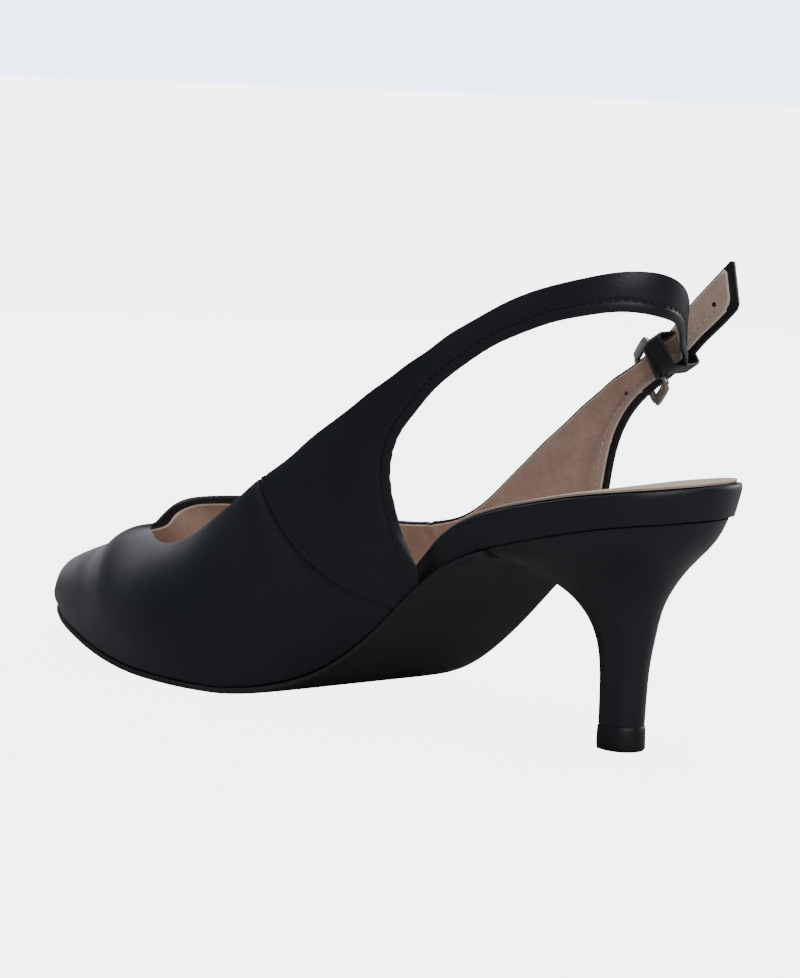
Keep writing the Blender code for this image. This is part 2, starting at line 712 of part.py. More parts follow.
def make_buckle(fold, metal):
    """A frame whose rear side runs through the strap's fold, and a prong that lies on its front side."""
    bar, across, ahead, inward = fold
    along = ahead * np.cos(BUCKLE_TILT) - inward * np.sin(BUCKLE_TILT)
    plane = np.cross(across, along)
    centre = bar + along * BUCKLE_LENGTH / 2
    path = rounded_rectangle(centre, along, across, BUCKLE_LENGTH / 2, BUCKLE_WIDTH / 2, BUCKLE_CORNER)
    closed_loop("buckle_frame", path, round_profile(WIRE_RADIUS), plane, metal)
    rise = WIRE_RADIUS * 1.8 + PIECE_GAP
    front = bar + along * BUCKLE_LENGTH - inward * rise + ahead * 0.0006
    level = np.array([ahead[0], 0.0, ahead[2]]) / np.hypot(ahead[0], ahead[2])
    start = front - level * (BUCKLE_LENGTH * 0.62) + inward * 0.0011
    data = bmesh.new()
    loops = []
    for place, radius in ((start, 0.8), (start * 0.5 + front * 0.5, 0.8), (front, 0.55)):
        ring = []
        for a, b in round_profile(WIRE_RADIUS * radius):
            ring.append(data.verts.new(place + across * a + inward * b))
        loops.append(ring)
    for a, b in zip(loops, loops[1:]):
        for k in range(8):
            data.faces.new([a[k], a[(k + 1) % 8], b[(k + 1) % 8], b[k]])
    data.faces.new(loops[0][::-1])
    data.faces.new(loops[-1])
    face_out(data)
    add_object("buckle_prong", data, metal)


def make_keeper(fold, material):
    """A narrow leather loop round the strap's end and the tail, just behind the fold."""
    bar, across, ahead, _ = fold
    level = np.array([ahead[0], 0.0, ahead[2]]) / np.hypot(ahead[0], ahead[2])
    upright = np.array([-level[2], 0.0, level[0]])
    centre = bar - level * (FOLD_TAB + KEEPER_WIDTH / 2 + KEEPER_BACK) + upright * KEEPER_LIFT
    centre[1] = BALL_HALF_WIDTH * KEEPER_SIDE
    sideways = np.array([0.0, 1.0, 0.0])
    path = rounded_rectangle(centre, sideways, upright, KEEPER_HALF_DEPTH, KEEPER_HALF_SPAN, 0.0024)
    half_wall, half_width = KEEPER_WALL / 2, KEEPER_WIDTH / 2
    profile = [(-half_wall, -half_width), (half_wall, -half_width), (half_wall, half_width), (-half_wall, half_width)]
    closed_loop("keeper_loop", path, profile, level, material)


def main():
    for old in list(bpy.data.objects):
        bpy.data.objects.remove(old, do_unlink=True)
    leather = plain_material("upper_leather", (0.012, 0.012, 0.014), 0.42)
    surface = upper_surface()
    make_upper(surface, leather)
    make_outsole(plain_material("outsole_rubber", (0.02, 0.02, 0.022), 0.7))
    make_footbed(plain_material("footbed_leather", (0.012, 0.012, 0.014), 0.42))
    make_sock(plain_material("sock_lining", (0.42, 0.28, 0.22), 0.7))
    make_heel(plain_material("heel_leather", (0.012, 0.012, 0.014), 0.4))
    make_top_lift(plain_material("lift_rubber", (0.02, 0.02, 0.02), 0.6))
    make_buckle(surface[2], plain_material("buckle_metal", (0.42, 0.40, 0.36), 0.3, 1.0))
    make_keeper(surface[2], plain_material("keeper_leather", (0.012, 0.012, 0.014), 0.42))


main()
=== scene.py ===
"""Looks of a right-foot slingback court shoe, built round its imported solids.

The upper is drawn again as separate leather panels, a lining and stitches. Its section tables repeat
the solid's, but for a higher toe crown, a throat and outer topline further forward, the sling's end and
the tail's tip. The other pieces are smooth copies of their solids. Lengths are metres, +X runs to the
toe, +Y to the inner side.
"""

import logging
import math
from collections.abc import Callable, Sequence
from dataclasses import dataclass, field
from enum import Enum

import bmesh
import bpy
import numpy as np
from mathutils import Matrix, Vector
from mathutils.kdtree import KDTree


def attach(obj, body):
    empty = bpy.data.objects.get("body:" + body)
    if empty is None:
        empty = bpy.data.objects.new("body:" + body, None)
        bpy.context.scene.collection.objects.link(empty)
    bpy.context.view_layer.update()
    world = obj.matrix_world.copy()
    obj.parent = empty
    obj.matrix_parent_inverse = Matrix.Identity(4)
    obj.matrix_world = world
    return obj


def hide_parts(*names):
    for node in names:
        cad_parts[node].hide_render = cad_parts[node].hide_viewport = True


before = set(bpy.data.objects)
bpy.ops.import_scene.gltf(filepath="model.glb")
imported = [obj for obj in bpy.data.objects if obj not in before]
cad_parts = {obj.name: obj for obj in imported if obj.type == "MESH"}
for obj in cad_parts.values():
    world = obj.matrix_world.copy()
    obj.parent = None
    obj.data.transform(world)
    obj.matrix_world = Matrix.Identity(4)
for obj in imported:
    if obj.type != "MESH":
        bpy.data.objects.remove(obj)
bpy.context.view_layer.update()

LOG = logging.getLogger("slingback")

SHOE_LENGTH = 0.2442
BACK_OVERHANG = 0.0302
BALL_HALF_WIDTH = 0.0376
HEEL_RISE = 0.0632
SOLE_TOP = 0.0026
SKEW = 0.17
SEAM_STEP = 0.0004
FOLD_TAB = 0.0012
FOLD_RADIUS = 0.00287
MEDIAL_SEAM_ROW = 14
LATERAL_SEAM_ROW = 13
CROWN_ROWS = 8
THROAT_REACH = 0.012
TIP_POINTS = 60
WALL_EDGE_ANGLE = 1.0
SHADE_ANGLE = 55

# Columns: along, medial side, lateral side.
OUTLINE = (
    (1.000, 0.066, 0.066),
    (0.975, 0.221, -0.096),
    (0.943, 0.362, -0.287),
    (0.902, 0.500, -0.452),
    (0.861, 0.628, -0.585),
    (0.779, 0.840, -0.809),
    (0.697, 0.973, -0.952),
    (0.636, 1.000, -0.997),
    (0.574, 0.926, -0.984),
    (0.513, 0.774, -0.899),
    (0.451, 0.673, -0.803),
    (0.369, 0.633, -0.726),
    (0.287, 0.644, -0.705),
    (0.206, 0.668, -0.697),
    (0.124, 0.686, -0.691),
    (0.083, 0.654, -0.660),
    (0.042, 0.532, -0.537),
    (0.017, 0.343, -0.346),
    (0.000, 0.000, 0.000),
)

# Columns: along, height of the lasted edge.
PROFILE = (
    (0.000, 0.972),
    (0.062, 0.940),
    (0.124, 0.892),
    (0.185, 0.828),
    (0.247, 0.747),
    (0.287, 0.665),
    (0.328, 0.541),
    (0.369, 0.384),
    (0.410, 0.244),
    (0.451, 0.133),
    (0.492, 0.059),
    (0.533, 0.016),
    (0.574, 0.000),
    (0.636, 0.000),
    (0.697, 0.000),
    (0.779, 0.013),
    (0.861, 0.038),
    (0.943, 0.073),
    (1.000, 0.098),
)

# Columns: foot, top along, top side, top height, lean, swell, full.
MEDIAL_LASTED = (
    (1.000, 1.000, 0.066, 0.101, 0.50, 0.000, 0.50),
    (0.995, 1.004, 0.064, 0.150, 0.75, 0.045, 0.50),
    (0.982, 1.004, 0.059, 0.210, 0.60, 0.080, 0.75),
    (0.955, 0.993, 0.043, 0.284, 0.55, 0.122, 0.90),
    (0.922, 0.964, 0.021, 0.352, 0.60, 0.197, 0.95),
    (0.889, 0.925, 0.000, 0.411, 0.80, 0.282, 0.98),
    (0.861, 0.883, -0.030, 0.480, 1.05, 0.362, 0.98),
    (0.826, 0.860, -0.085, 0.541, 1.15, 0.415, 1.02),
    (0.771, 0.828, 0.170, 0.532, 0.88, 0.356, 0.90),
    (0.689, 0.756, 0.513, 0.528, 0.60, 0.271, 0.78),
    (0.607, 0.685, 0.678, 0.595, 0.50, 0.229, 0.62),
    (0.525, 0.619, 0.771, 0.741, 0.48, 0.255, 0.46),
    (0.459, 0.580, 0.814, 0.845, 0.50, 0.293, 0.33),
    (0.414, 0.562, 0.824, 0.899, 0.52, 0.298, 0.27),
    (0.369, 0.548, 0.835, 0.930, 0.54, 0.309, 0.21),
    (0.345, 0.509, 0.827, 1.030, 0.50, 0.250, 0.27),
)

# Columns: low along, low side, low height, top along, top side, top height, swell.
MEDIAL_FREE = (
    (0.327, 0.707, 0.639, 0.472, 0.824, 1.146, 0.146),
    (0.343, 0.734, 0.753, 0.443, 0.814, 1.225, 0.085),
    (0.355, 0.761, 0.877, 0.416, 0.801, 1.301, 0.040),
    (0.362, 0.771, 0.995, 0.394, 0.785, 1.367, 0.029),
    (0.362, 0.771, 1.090, 0.373, 0.766, 1.424, 0.024),
    (0.353, 0.763, 1.196, 0.351, 0.737, 1.491, 0.021),
    (0.338, 0.750, 1.275, 0.330, 0.710, 1.547, 0.019),
    (0.314, 0.729, 1.386, 0.306, 0.684, 1.619, 0.016),
    (0.275, 0.702, 1.509, 0.270, 0.662, 1.701, 0.013),
    (0.238, 0.670, 1.603, 0.235, 0.630, 1.778, 0.011),
    (0.201, 0.628, 1.672, 0.199, 0.593, 1.840, 0.011),
    (0.167, 0.577, 1.725, 0.165, 0.548, 1.884, 0.008),
    (0.135, 0.508, 1.759, 0.133, 0.484, 1.919, 0.008),
    (0.102, 0.367, 1.783, 0.102, 0.362, 1.946, 0.008),
    (0.080, 0.133, 1.763, 0.076, 0.138, 1.937, 0.008),
    (0.083, -0.080, 1.725, 0.075, -0.080, 1.886, 0.008),
    (0.098, -0.266, 1.661, 0.088, -0.266, 1.813, 0.008),
    (0.115, -0.432, 1.593, 0.109, -0.442, 1.742, 0.008),
    (0.127, -0.572, 1.528, 0.138, -0.588, 1.665, 0.005),
    (0.149, -0.604, 1.491, 0.169, -0.609, 1.601, 0.003),
)

LATERAL_LASTED = (
    (1.000, 1.000, 0.066, 0.101, 0.50, 0.000, 0.50),
    (0.995, 1.004, 0.064, 0.150, 0.75, -0.045, 0.50),
    (0.982, 1.004, 0.059, 0.210, 0.60, -0.080, 0.75),
    (0.955, 0.993, 0.043, 0.284, 0.55, -0.122, 0.90),
    (0.922, 0.964, 0.021, 0.352, 0.60, -0.186, 0.95),
    (0.889, 0.925, 0.000, 0.411, 0.80, -0.261, 0.98),
    (0.861, 0.883, -0.030, 0.480, 1.05, -0.324, 0.93),
    (0.826, 0.860, -0.085, 0.541, 1.15, -0.362, 0.93),
    (0.787, 0.860, -0.232, 0.601, 0.95, -0.330, 0.90),
    (0.734, 0.836, -0.440, 0.655, 0.72, -0.255, 0.87),
    (0.664, 0.762, -0.690, 0.672, 0.55, -0.186, 0.76),
    (0.586, 0.672, -0.806, 0.655, 0.48, -0.160, 0.64),
    (0.513, 0.586, -0.840, 0.649, 0.45, -0.160, 0.54),
    (0.447, 0.517, -0.830, 0.674, 0.43, -0.160, 0.47),
    (0.386, 0.468, -0.814, 0.728, 0.44, -0.133, 0.44),
    (0.328, 0.427, -0.803, 0.826, 0.48, -0.080, 0.42),
)

LATERAL_FREE = (
    (0.287, -0.755, 0.674, 0.398, -0.795, 0.927, -0.040),
    (0.261, -0.755, 0.790, 0.371, -0.790, 1.022, -0.032),
    (0.250, -0.755, 0.908, 0.345, -0.782, 1.114, -0.027),
    (0.245, -0.755, 1.027, 0.316, -0.771, 1.206, -0.021),
    (0.238, -0.750, 1.138, 0.290, -0.755, 1.291, -0.016),
    (0.225, -0.739, 1.244, 0.263, -0.739, 1.370, -0.011),
    (0.207, -0.715, 1.326, 0.239, -0.710, 1.437, -0.008),
    (0.186, -0.686, 1.392, 0.212, -0.684, 1.497, -0.003),
    (0.162, -0.678, 1.460, 0.186, -0.676, 1.571, 0.000),
    (0.138, -0.686, 1.541, 0.163, -0.684, 1.658, 0.000),
    (0.118, -0.707, 1.628, 0.144, -0.705, 1.758, 0.000),
    (0.100, -0.721, 1.696, 0.124, -0.721, 1.845, 0.000),
    (0.079, -0.745, 1.786, 0.090, -0.748, 1.986, 0.000),
)


class Side(Enum):
    """The two sides of the shoe, with the sign of their Y."""

    MEDIAL = 1
    LATERAL = -1


def spline(knots: Sequence[float], values: Sequence) -> Callable[[np.ndarray], np.ndarray]:
    """A natural cubic through values.

    Args:
        knots: Rising places, one for each value.
        values: Numbers or points to pass through.

    Returns:
        A function that reads the curve at any places and stays level beyond both ends.
    """
    knots, values = np.asarray(knots, float), np.asarray(values, float)
    step, count = np.diff(knots), len(knots)
    matrix, right = np.eye(count), np.zeros((count,) + values.shape[1:])
    slope = np.diff(values, axis=0) / step.reshape((-1,) + (1,) * (values.ndim - 1))
    for i in range(1, count - 1):
        matrix[i, i - 1 : i + 2] = step[i - 1], 2 * (step[i - 1] + step[i]), step[i]
        right[i] = 6 * (slope[i] - slope[i - 1])
    bend = np.linalg.solve(matrix, right)

    def read(place: np.ndarray) -> np.ndarray:
        """The curve's values at these places.

        Args:
            place: Places to read.

        Returns:
            One value for each place.
        """
        place = np.asarray(place, float)
        i = np.clip(np.searchsorted(knots, place) - 1, 0, count - 2)
        b = (np.clip(place, knots[0], knots[-1]) - knots[i]) / step[i]
        shape = b.shape + (1,) * (values.ndim - 1)
        a, b, width = (1 - b).reshape(shape), b.reshape(shape), step[i].reshape(shape)
        curve = (a**3 - a) * bend[i] + (b**3 - b) * bend[i + 1]
        return a * values[i] + b * values[i + 1] + curve * width**2 / 6

    return read


def smooth(value: np.ndarray, start: float, end: float) -> np.ndarray:
    """0 before start, 1 after end, eased between.

    Args:
        value: Numbers to read.
        start: Value where the rise starts.
        end: Value where it ends.

    Returns:
        Numbers from 0 to 1.
    """
    t = np.clip((np.asarray(value, float) - start) / (end - start), 0, 1)
    return t * t * (3 - 2 * t)


def hump(value: np.ndarray, centre: float, half_width: float) -> np.ndarray:
    """A soft ridge of height 1 at the centre.

    Args:
        value: Numbers to read.
        centre: The ridge's middle.
        half_width: Distance at which it has fallen to about a third.

    Returns:
        Numbers from 0 to 1.
    """
    return np.exp(-(((np.asarray(value, float) - centre) / half_width) ** 2))


def turn_of(along: np.ndarray) -> np.ndarray:
    """Place along the shoe as an angle.

    Args:
        along: Places along the shoe, from 0 to 1.

    Returns:
        Angles from 0 at the toe to pi at the back.
    """
    return np.arccos(np.clip(2 * np.asarray(along, float) - 1, -1, 1))


def x_of(along: np.ndarray) -> np.ndarray:
    """X of a place along the shoe.

    Args:
        along: Places along the shoe, from 0 to 1.

    Returns:
        X of each place.
    """
    return SHOE_LENGTH * np.asarray(along) - BACK_OVERHANG


class UpperForm:
    """The upper's outer surface, as sections that run from its lower edge up to the crown or the top edge."""

    def __init__(self) -> None:
        """Reads the tables into curves."""
        columns = np.array(OUTLINE)
        turns = turn_of(columns[:, 0])
        self.outline = {
            Side.MEDIAL: spline(turns, columns[:, 1] * BALL_HALF_WIDTH),
            Side.LATERAL: spline(turns, columns[:, 2] * BALL_HALF_WIDTH),
        }
        profile = np.array(PROFILE)
        self.edge_height = spline(profile[:, 0], profile[:, 1] * HEEL_RISE)
        rails = {
            Side.MEDIAL: self._control_rows(Side.MEDIAL, MEDIAL_LASTED, MEDIAL_FREE),
            Side.LATERAL: self._control_rows(Side.LATERAL, LATERAL_LASTED, LATERAL_FREE),
        }
        last = {side: len(rows[0]) - 1 for side, rows in rails.items()}
        rails[Side.MEDIAL] = self._folded(*rails[Side.MEDIAL])
        mean = sum((low + 2 * middle + top)[:CROWN_ROWS] / 8 for low, middle, top in rails.values())
        shared = np.concatenate([[0], np.cumsum(np.linalg.norm(np.diff(mean, axis=0), axis=1))])
        self.split = float(shared[-1])
        self.crown = spline(shared, rails[Side.MEDIAL][2][:CROWN_ROWS])
        self.place = {side: self._places(*rows, shared) for side, rows in rails.items()}
        inner, outer = self.place[Side.MEDIAL], self.place[Side.LATERAL]
        back = slice(None, CROWN_ROWS - 2, -1)
        self.topline = spline(
            np.concatenate([self.split - outer[back], inner[CROWN_ROWS:] - self.split]),
            np.vstack([rails[Side.LATERAL][2][back], rails[Side.MEDIAL][2][CROWN_ROWS:]]),
        )
        self.low = {side: spline(self.place[side], rows[0]) for side, rows in rails.items()}
        self.middle = {side: spline(self.place[side], rows[1]) for side, rows in rails.items()}
        feet = {Side.MEDIAL: MEDIAL_LASTED, Side.LATERAL: LATERAL_LASTED}
        self.foot = {side: spline(self.place[side][: len(t)], [r[0] for r in t]) for side, t in feet.items()}
        self.lasted_end = {side: float(self.place[side][len(t) - 1]) for side, t in feet.items()}
        self.strap_end = {side: float(self.place[side][last[side]]) for side in Side}
        self.full_end = {side: float(self.place[side][-1]) for side in Side}
        self.seam = {
            Side.MEDIAL: float(inner[MEDIAL_SEAM_ROW]),
            Side.LATERAL: float(outer[LATERAL_SEAM_ROW]),
        }

    def _edge_z(self, x: np.ndarray, y: np.ndarray) -> np.ndarray:
        """Height of the surface that the upper is lasted to.

        Args:
            x: X of each point.
            y: Y of each point.

        Returns:
            Z of each point.
        """
        along = (np.asarray(x) + BACK_OVERHANG) / SHOE_LENGTH
        lean = SKEW * smooth(along, 0.14, 0.34) * np.asarray(y) / SHOE_LENGTH
        return SOLE_TOP + np.maximum(self.edge_height(np.clip(along - lean, 0, 1)), 0)

    def _lasted(self, side: Side, foot: np.ndarray) -> np.ndarray:
        """Points of the lasted edge at these places along the shoe.

        Args:
            side: Which side of the shoe.
            foot: Places along the shoe, from 0 to 1.

        Returns:
            One row of X, Y and Z for each place.
        """
        width = self.outline[side](turn_of(foot))
        return np.stack([x_of(foot), width, self._edge_z(x_of(foot), width)], axis=-1)

    def _control_rows(
        self, side: Side, lasted: tuple, free: tuple
    ) -> tuple[np.ndarray, np.ndarray, np.ndarray]:
        """Low, middle and top points of every section on one side.

        Args:
            side: Which side of the shoe.
            lasted: Table of the rows that end on the sole.
            free: Table of the rows above it.

        Returns:
            The low, middle and top points.
        """
        low, middle, top = [], [], []
        for foot, along, across, height, lean, swell, full in lasted:
            base = self._lasted(side, np.array(foot))
            crown = np.array([x_of(along), BALL_HALF_WIDTH * across, SOLE_TOP + HEEL_RISE * height])
            low.append(base)
            bend = np.array([lean, 0.5, full])
            middle.append(base + bend * (crown - base) + (0, swell * BALL_HALF_WIDTH, 0))
            top.append(crown)
        for row in free:
            base = np.array([x_of(row[0]), BALL_HALF_WIDTH * row[1], SOLE_TOP + HEEL_RISE * row[2]])
            crown = np.array([x_of(row[3]), BALL_HALF_WIDTH * row[4], SOLE_TOP + HEEL_RISE * row[5]])
            low.append(base)
            middle.append((base + crown) / 2 + (0, row[6] * BALL_HALF_WIDTH, 0))
            top.append(crown)
        return np.array(low), np.array(middle), np.array(top)

    def _folded(self, low: np.ndarray, middle: np.ndarray, top: np.ndarray) -> list[np.ndarray]:
        """The same rows with those that turn the strap's end round the buckle's bar.

        Args:
            low: Lower points of the rows.
            middle: Middle points of the rows.
            top: Top points of the rows.

        Returns:
            The three sets of rows, each with the turned ones added.
        """
        across = top[-1] - low[-1]
        across /= np.linalg.norm(across)
        ahead = middle[-1] - middle[-2]
        ahead -= across * ahead.dot(across)
        ahead /= np.linalg.norm(ahead)
        inward = np.cross(across, ahead)
        inward *= np.sign(inward[1])
        angles = np.radians(np.arange(30, 181, 30))
        places = [(FOLD_RADIUS * math.sin(a), FOLD_RADIUS * (1 - math.cos(a))) for a in angles]
        places += [(-0.45 * FOLD_TAB, 1.97 * FOLD_RADIUS), (-FOLD_TAB, 1.90 * FOLD_RADIUS)]
        return [
            np.vstack([rail, [rail[-1] + ahead * forward + inward * aside for forward, aside in places]])
            for rail in (low, middle, top)
        ]

    @staticmethod
    def _places(low: np.ndarray, middle: np.ndarray, top: np.ndarray, shared: np.ndarray) -> np.ndarray:
        """Distance of each section along the side, equal on both sides up to the throat.

        Args:
            low: Lower points of the rows.
            middle: Middle points of the rows.
            top: Top points of the rows.
            shared: Distances that both sides share up to the throat.

        Returns:
            One distance for each row.
        """
        centre = (low + 2 * middle + top) / 4
        place = np.concatenate([[0], np.cumsum(np.linalg.norm(np.diff(centre, axis=0), axis=1))])
        count = len(shared)
        return np.concatenate([shared, place[count:] + shared[-1] - place[count - 1]])

    def points(self, side: Side, place: np.ndarray, share: np.ndarray) -> np.ndarray:
        """Points of the surface.

        Args:
            side: Which side of the shoe.
            place: Distances along the side, from the toe.
            share: How far up the section each point is, from 0 to 1.

        Returns:
            One row of X, Y and Z for each point.
        """
        place, share = np.asarray(place, float), np.asarray(share, float)
        low = self.low[side](place)
        lasted = place <= self.lasted_end[side] + 1e-9
        low[lasted] = self._lasted(side, self.foot[side](place[lasted]))
        top = np.where(
            (place <= self.split + 1e-9)[:, None],
            self.crown(np.minimum(place, self.split)),
            self.topline(side.value * (place - self.split)),
        )
        t = share[:, None]
        return (1 - t) ** 2 * low + 2 * t * (1 - t) * self.middle[side](place) + t**2 * top

    def edge(self, side: Side, start: float, end: float, share: float, step: float = 0.0003) -> np.ndarray:
        """Points along one section end, from start to end.

        Args:
            side: Which side of the shoe.
            start: First place.
            end: Last place.
            share: Which end of the section, 0 or 1.
            step: Distance between points.

        Returns:
            One row of X, Y and Z for each point.
        """
        place = np.linspace(start, end, max(2, int((end - start) / step)))
        return self.points(side, place, np.full(len(place), share))

    def normals(self, side: Side, place: np.ndarray, share: np.ndarray) -> np.ndarray:
        """Outward directions of the surface at these points.

        Args:
            side: Which side of the shoe.
            place: Distances along the side, from the toe.
            share: How far up the section each point is, from 0 to 1.

        Returns:
            One unit vector for each point.
        """
        d = 4e-4
        ahead = self.points(side, place + d, share) - self.points(side, np.maximum(place - d, 0), share)
        above = self.points(side, place, np.minimum(share + 0.01, 1))
        up = above - self.points(side, place, np.maximum(share - 0.01, 0))
        normal = np.cross(ahead, up) * side.value
        return normal / np.linalg.norm(normal, axis=1)[:, None]


def nearness(points: np.ndarray, targets: np.ndarray) -> np.ndarray:
    """Distance of each point to the nearest target.

    Args:
        points: Points to measure from.
        targets: Points to measure to.

    Returns:
        One distance for each point.
    """
    tree = KDTree(len(targets))
    for i, target in enumerate(targets):
        tree.insert(target, i)
    tree.balance()
    return np.array([tree.find(p)[2] for p in points])


@dataclass
class Skin:
    """A patch of the upper's surface as a mesh, with its distances kept in layers of its points."""

    form: UpperForm
    sides: tuple[Side, ...]
    row_step: float = 0.0011
    columns: int = 44
    mesh: bmesh.types.BMesh = field(default_factory=bmesh.new)
    ease_in: float = 0.5
    ease_out: float = -0.52
    ease_turns: int = 70

    LAYERS = ("place", "share", "side", "top_gap", "rear_gap", "tip_gap", "cut", "kept", "margin")

    def build(self, start: dict[Side, float], end: dict[Side, float]) -> "Skin":
        """Draws the patch between two places on each side.

        Args:
            start: First place on each side.
            end: Last place on each side.

        Returns:
            This skin, for the next step.
        """
        layers = {name: self.mesh.verts.layers.float.new(name) for name in self.LAYERS}
        for side in self.sides:
            first, last = start[side], end[side]
            rows = max(4, round((last - first) / self.row_step))
            grid = bmesh.ops.create_grid(self.mesh, x_segments=rows, y_segments=self.columns, size=1.0)
            made = grid["verts"]
            place = np.array([first + (last - first) * (v.co.x + 1) / 2 for v in made])
            share = np.array([(v.co.y + 1) / 2 for v in made])
            where = self.form.points(side, place, share)
            gaps = self._gaps(side, where)
            for i, v in enumerate(made):
                v.co = where[i]
                v[layers["place"]], v[layers["share"]], v[layers["side"]] = place[i], share[i], side.value
                for name, values in gaps.items():
                    v[layers[name]] = values[i]
            if side is Side.LATERAL:
                faces = list({f for v in made for f in v.link_faces})
                bmesh.ops.reverse_faces(self.mesh, faces=faces)
        bmesh.ops.remove_doubles(self.mesh, verts=self.mesh.verts[:], dist=2e-5)
        self.mesh.normal_update()
        if sum((f.normal * f.calc_area()).y * (f.calc_center_median().y) for f in self.mesh.faces) < 0:
            bmesh.ops.reverse_faces(self.mesh, faces=self.mesh.faces[:])
        self.mesh.normal_update()
        return self

    def _gaps(self, side: Side, where: np.ndarray) -> dict[str, np.ndarray]:
        """Distances of these points to the top edge, the free rear edge and the tail's tip.

        Args:
            side: Which side of the shoe.
            where: Points of the surface.

        Returns:
            Three sets of distances, by layer name.
        """
        form = self.form
        reach = {s: form.strap_end[s] if s is side else form.split + THROAT_REACH for s in Side}
        top = np.vstack([form.edge(s, form.split, reach[s], 1.0) for s in Side])
        rear = form.edge(side, form.lasted_end[side], form.strap_end[side], 0.0)
        shares = np.linspace(0, 1, TIP_POINTS)
        tip = form.points(side, np.full(TIP_POINTS, form.strap_end[side]), shares)
        edges = {"top_gap": top, "rear_gap": rear, "tip_gap": tip}
        return {name: nearness(where, line) for name, line in edges.items()}

    def values(self, name: str) -> np.ndarray:
        """One layer's values, a number for each point.

        Args:
            name: The layer's name.

        Returns:
            One number for each point.
        """
        layer = self.mesh.verts.layers.float[name]
        return np.array([v[layer] for v in self.mesh.verts])

    def trim(self, worth: np.ndarray) -> "Skin":
        """Cuts the patch along the line where worth is 0 and keeps the part where it is positive.

        Args:
            worth: A number for each point, which changes sign across the cut.

        Returns:
            This skin, for the next step.
        """
        mesh = self.mesh
        kept = mesh.verts.layers.float["kept"]
        mesh.verts.index_update()
        worth = np.where(np.abs(worth) < 1e-6, 1e-6, worth)
        for v in mesh.verts:
            v[kept] = worth[v.index]
        shares = {}
        for edge in mesh.edges:
            a, b = (worth[v.index] for v in edge.verts)
            if a * b < 0:
                shares[edge] = float(a / (a - b))
        made = bmesh.ops.bisect_edges(mesh, edges=list(shares), cuts=1, edge_percents=shares)
        fresh = [g for g in made["geom_split"] if isinstance(g, bmesh.types.BMVert)]
        for v in fresh:
            v[kept] = 0.0
        bmesh.ops.connect_verts(mesh, verts=fresh)
        lost = [f for f in mesh.faces if any(v[kept] < 0 for v in f.verts)]
        bmesh.ops.delete(mesh, geom=lost, context="FACES")
        bmesh.ops.delete(mesh, geom=[v for v in mesh.verts if not v.link_faces], context="VERTS")
        return self

    def round_tail(self, radius: float, margin: float = 0.0, top_margin: float = 0.0) -> "Skin":
        """Rounds the two corners of the lateral strap's end.

        Args:
            radius: Radius of both corners.
            margin: How far inside the strap's end the rounded shape lies.
            top_margin: How far inside the strap's top edge it lies.

        Returns:
            This skin, for the next step.
        """
        for name, inset in (("top_gap", top_margin), ("rear_gap", margin)):
            beside = self.values(name) - inset
            tip = self.values("tip_gap") - margin
            corner = (self.values("side") < 0) & (tip < radius) & (beside < radius)
            worth = np.where(corner, radius - np.hypot(radius - tip, radius - beside), radius)
            self.trim(worth)
        return self

    def measure_margin(self) -> "Skin":
        """Keeps each point's distance to the trimmed edge in a layer.

        Returns:
            This skin, for the next step.
        """
        self.mesh.verts.ensure_lookup_table()
        rim = [e for e in self.mesh.edges if e.is_boundary]
        dots = [np.array(e.verts[0].co.lerp(e.verts[1].co, t)) for e in rim for t in (0.0, 0.33, 0.67)]
        gap = nearness(np.array([v.co for v in self.mesh.verts]), np.array(dots))
        layer = self.mesh.verts.layers.float["margin"]
        for v, value in zip(self.mesh.verts, gap):
            v[layer] = value
        return self

    def push(self, amount: np.ndarray) -> "Skin":
        """Moves each point along its own normal by its amount.

        Args:
            amount: One distance for each point, positive outward.

        Returns:
            This skin, for the next step.
        """
        self.mesh.normal_update()
        moves = [(v, v.normal * float(a)) for v, a in zip(self.mesh.verts, amount)]
        for v, move in moves:
            v.co += move
        return self

    def ease_front(self) -> "Skin":
        """Smooths the front and the walls beside the throat, and leaves free edges where they are.

        Returns:
            This skin, for the next step.
        """
        mesh, split = self.mesh, self.form.split
        place, share = self.values("place"), self.values("share")
        mesh.verts.index_update()
        points = np.array([v.co for v in mesh.verts])
        ends = np.array([[v.index for v in e.verts] for e in mesh.edges])
        count = np.bincount(ends.ravel(), minlength=len(points))[:, None]
        free = smooth(place, 0.002, 0.022) * (1 - smooth(place, split + 0.004, split + 0.030))
        free = free * smooth(share, 0.02, 0.2)
        free = (free * ~np.array([v.is_boundary for v in mesh.verts]))[:, None]
        for factor in (self.ease_in, self.ease_out) * self.ease_turns:
            total = np.zeros_like(points)
            np.add.at(total, ends[:, 0], points[ends[:, 1]])
            np.add.at(total, ends[:, 1], points[ends[:, 0]])
            points += factor * free * (total / count - points)
        for v, point in zip(mesh.verts, points):
            v.co = point
        return self

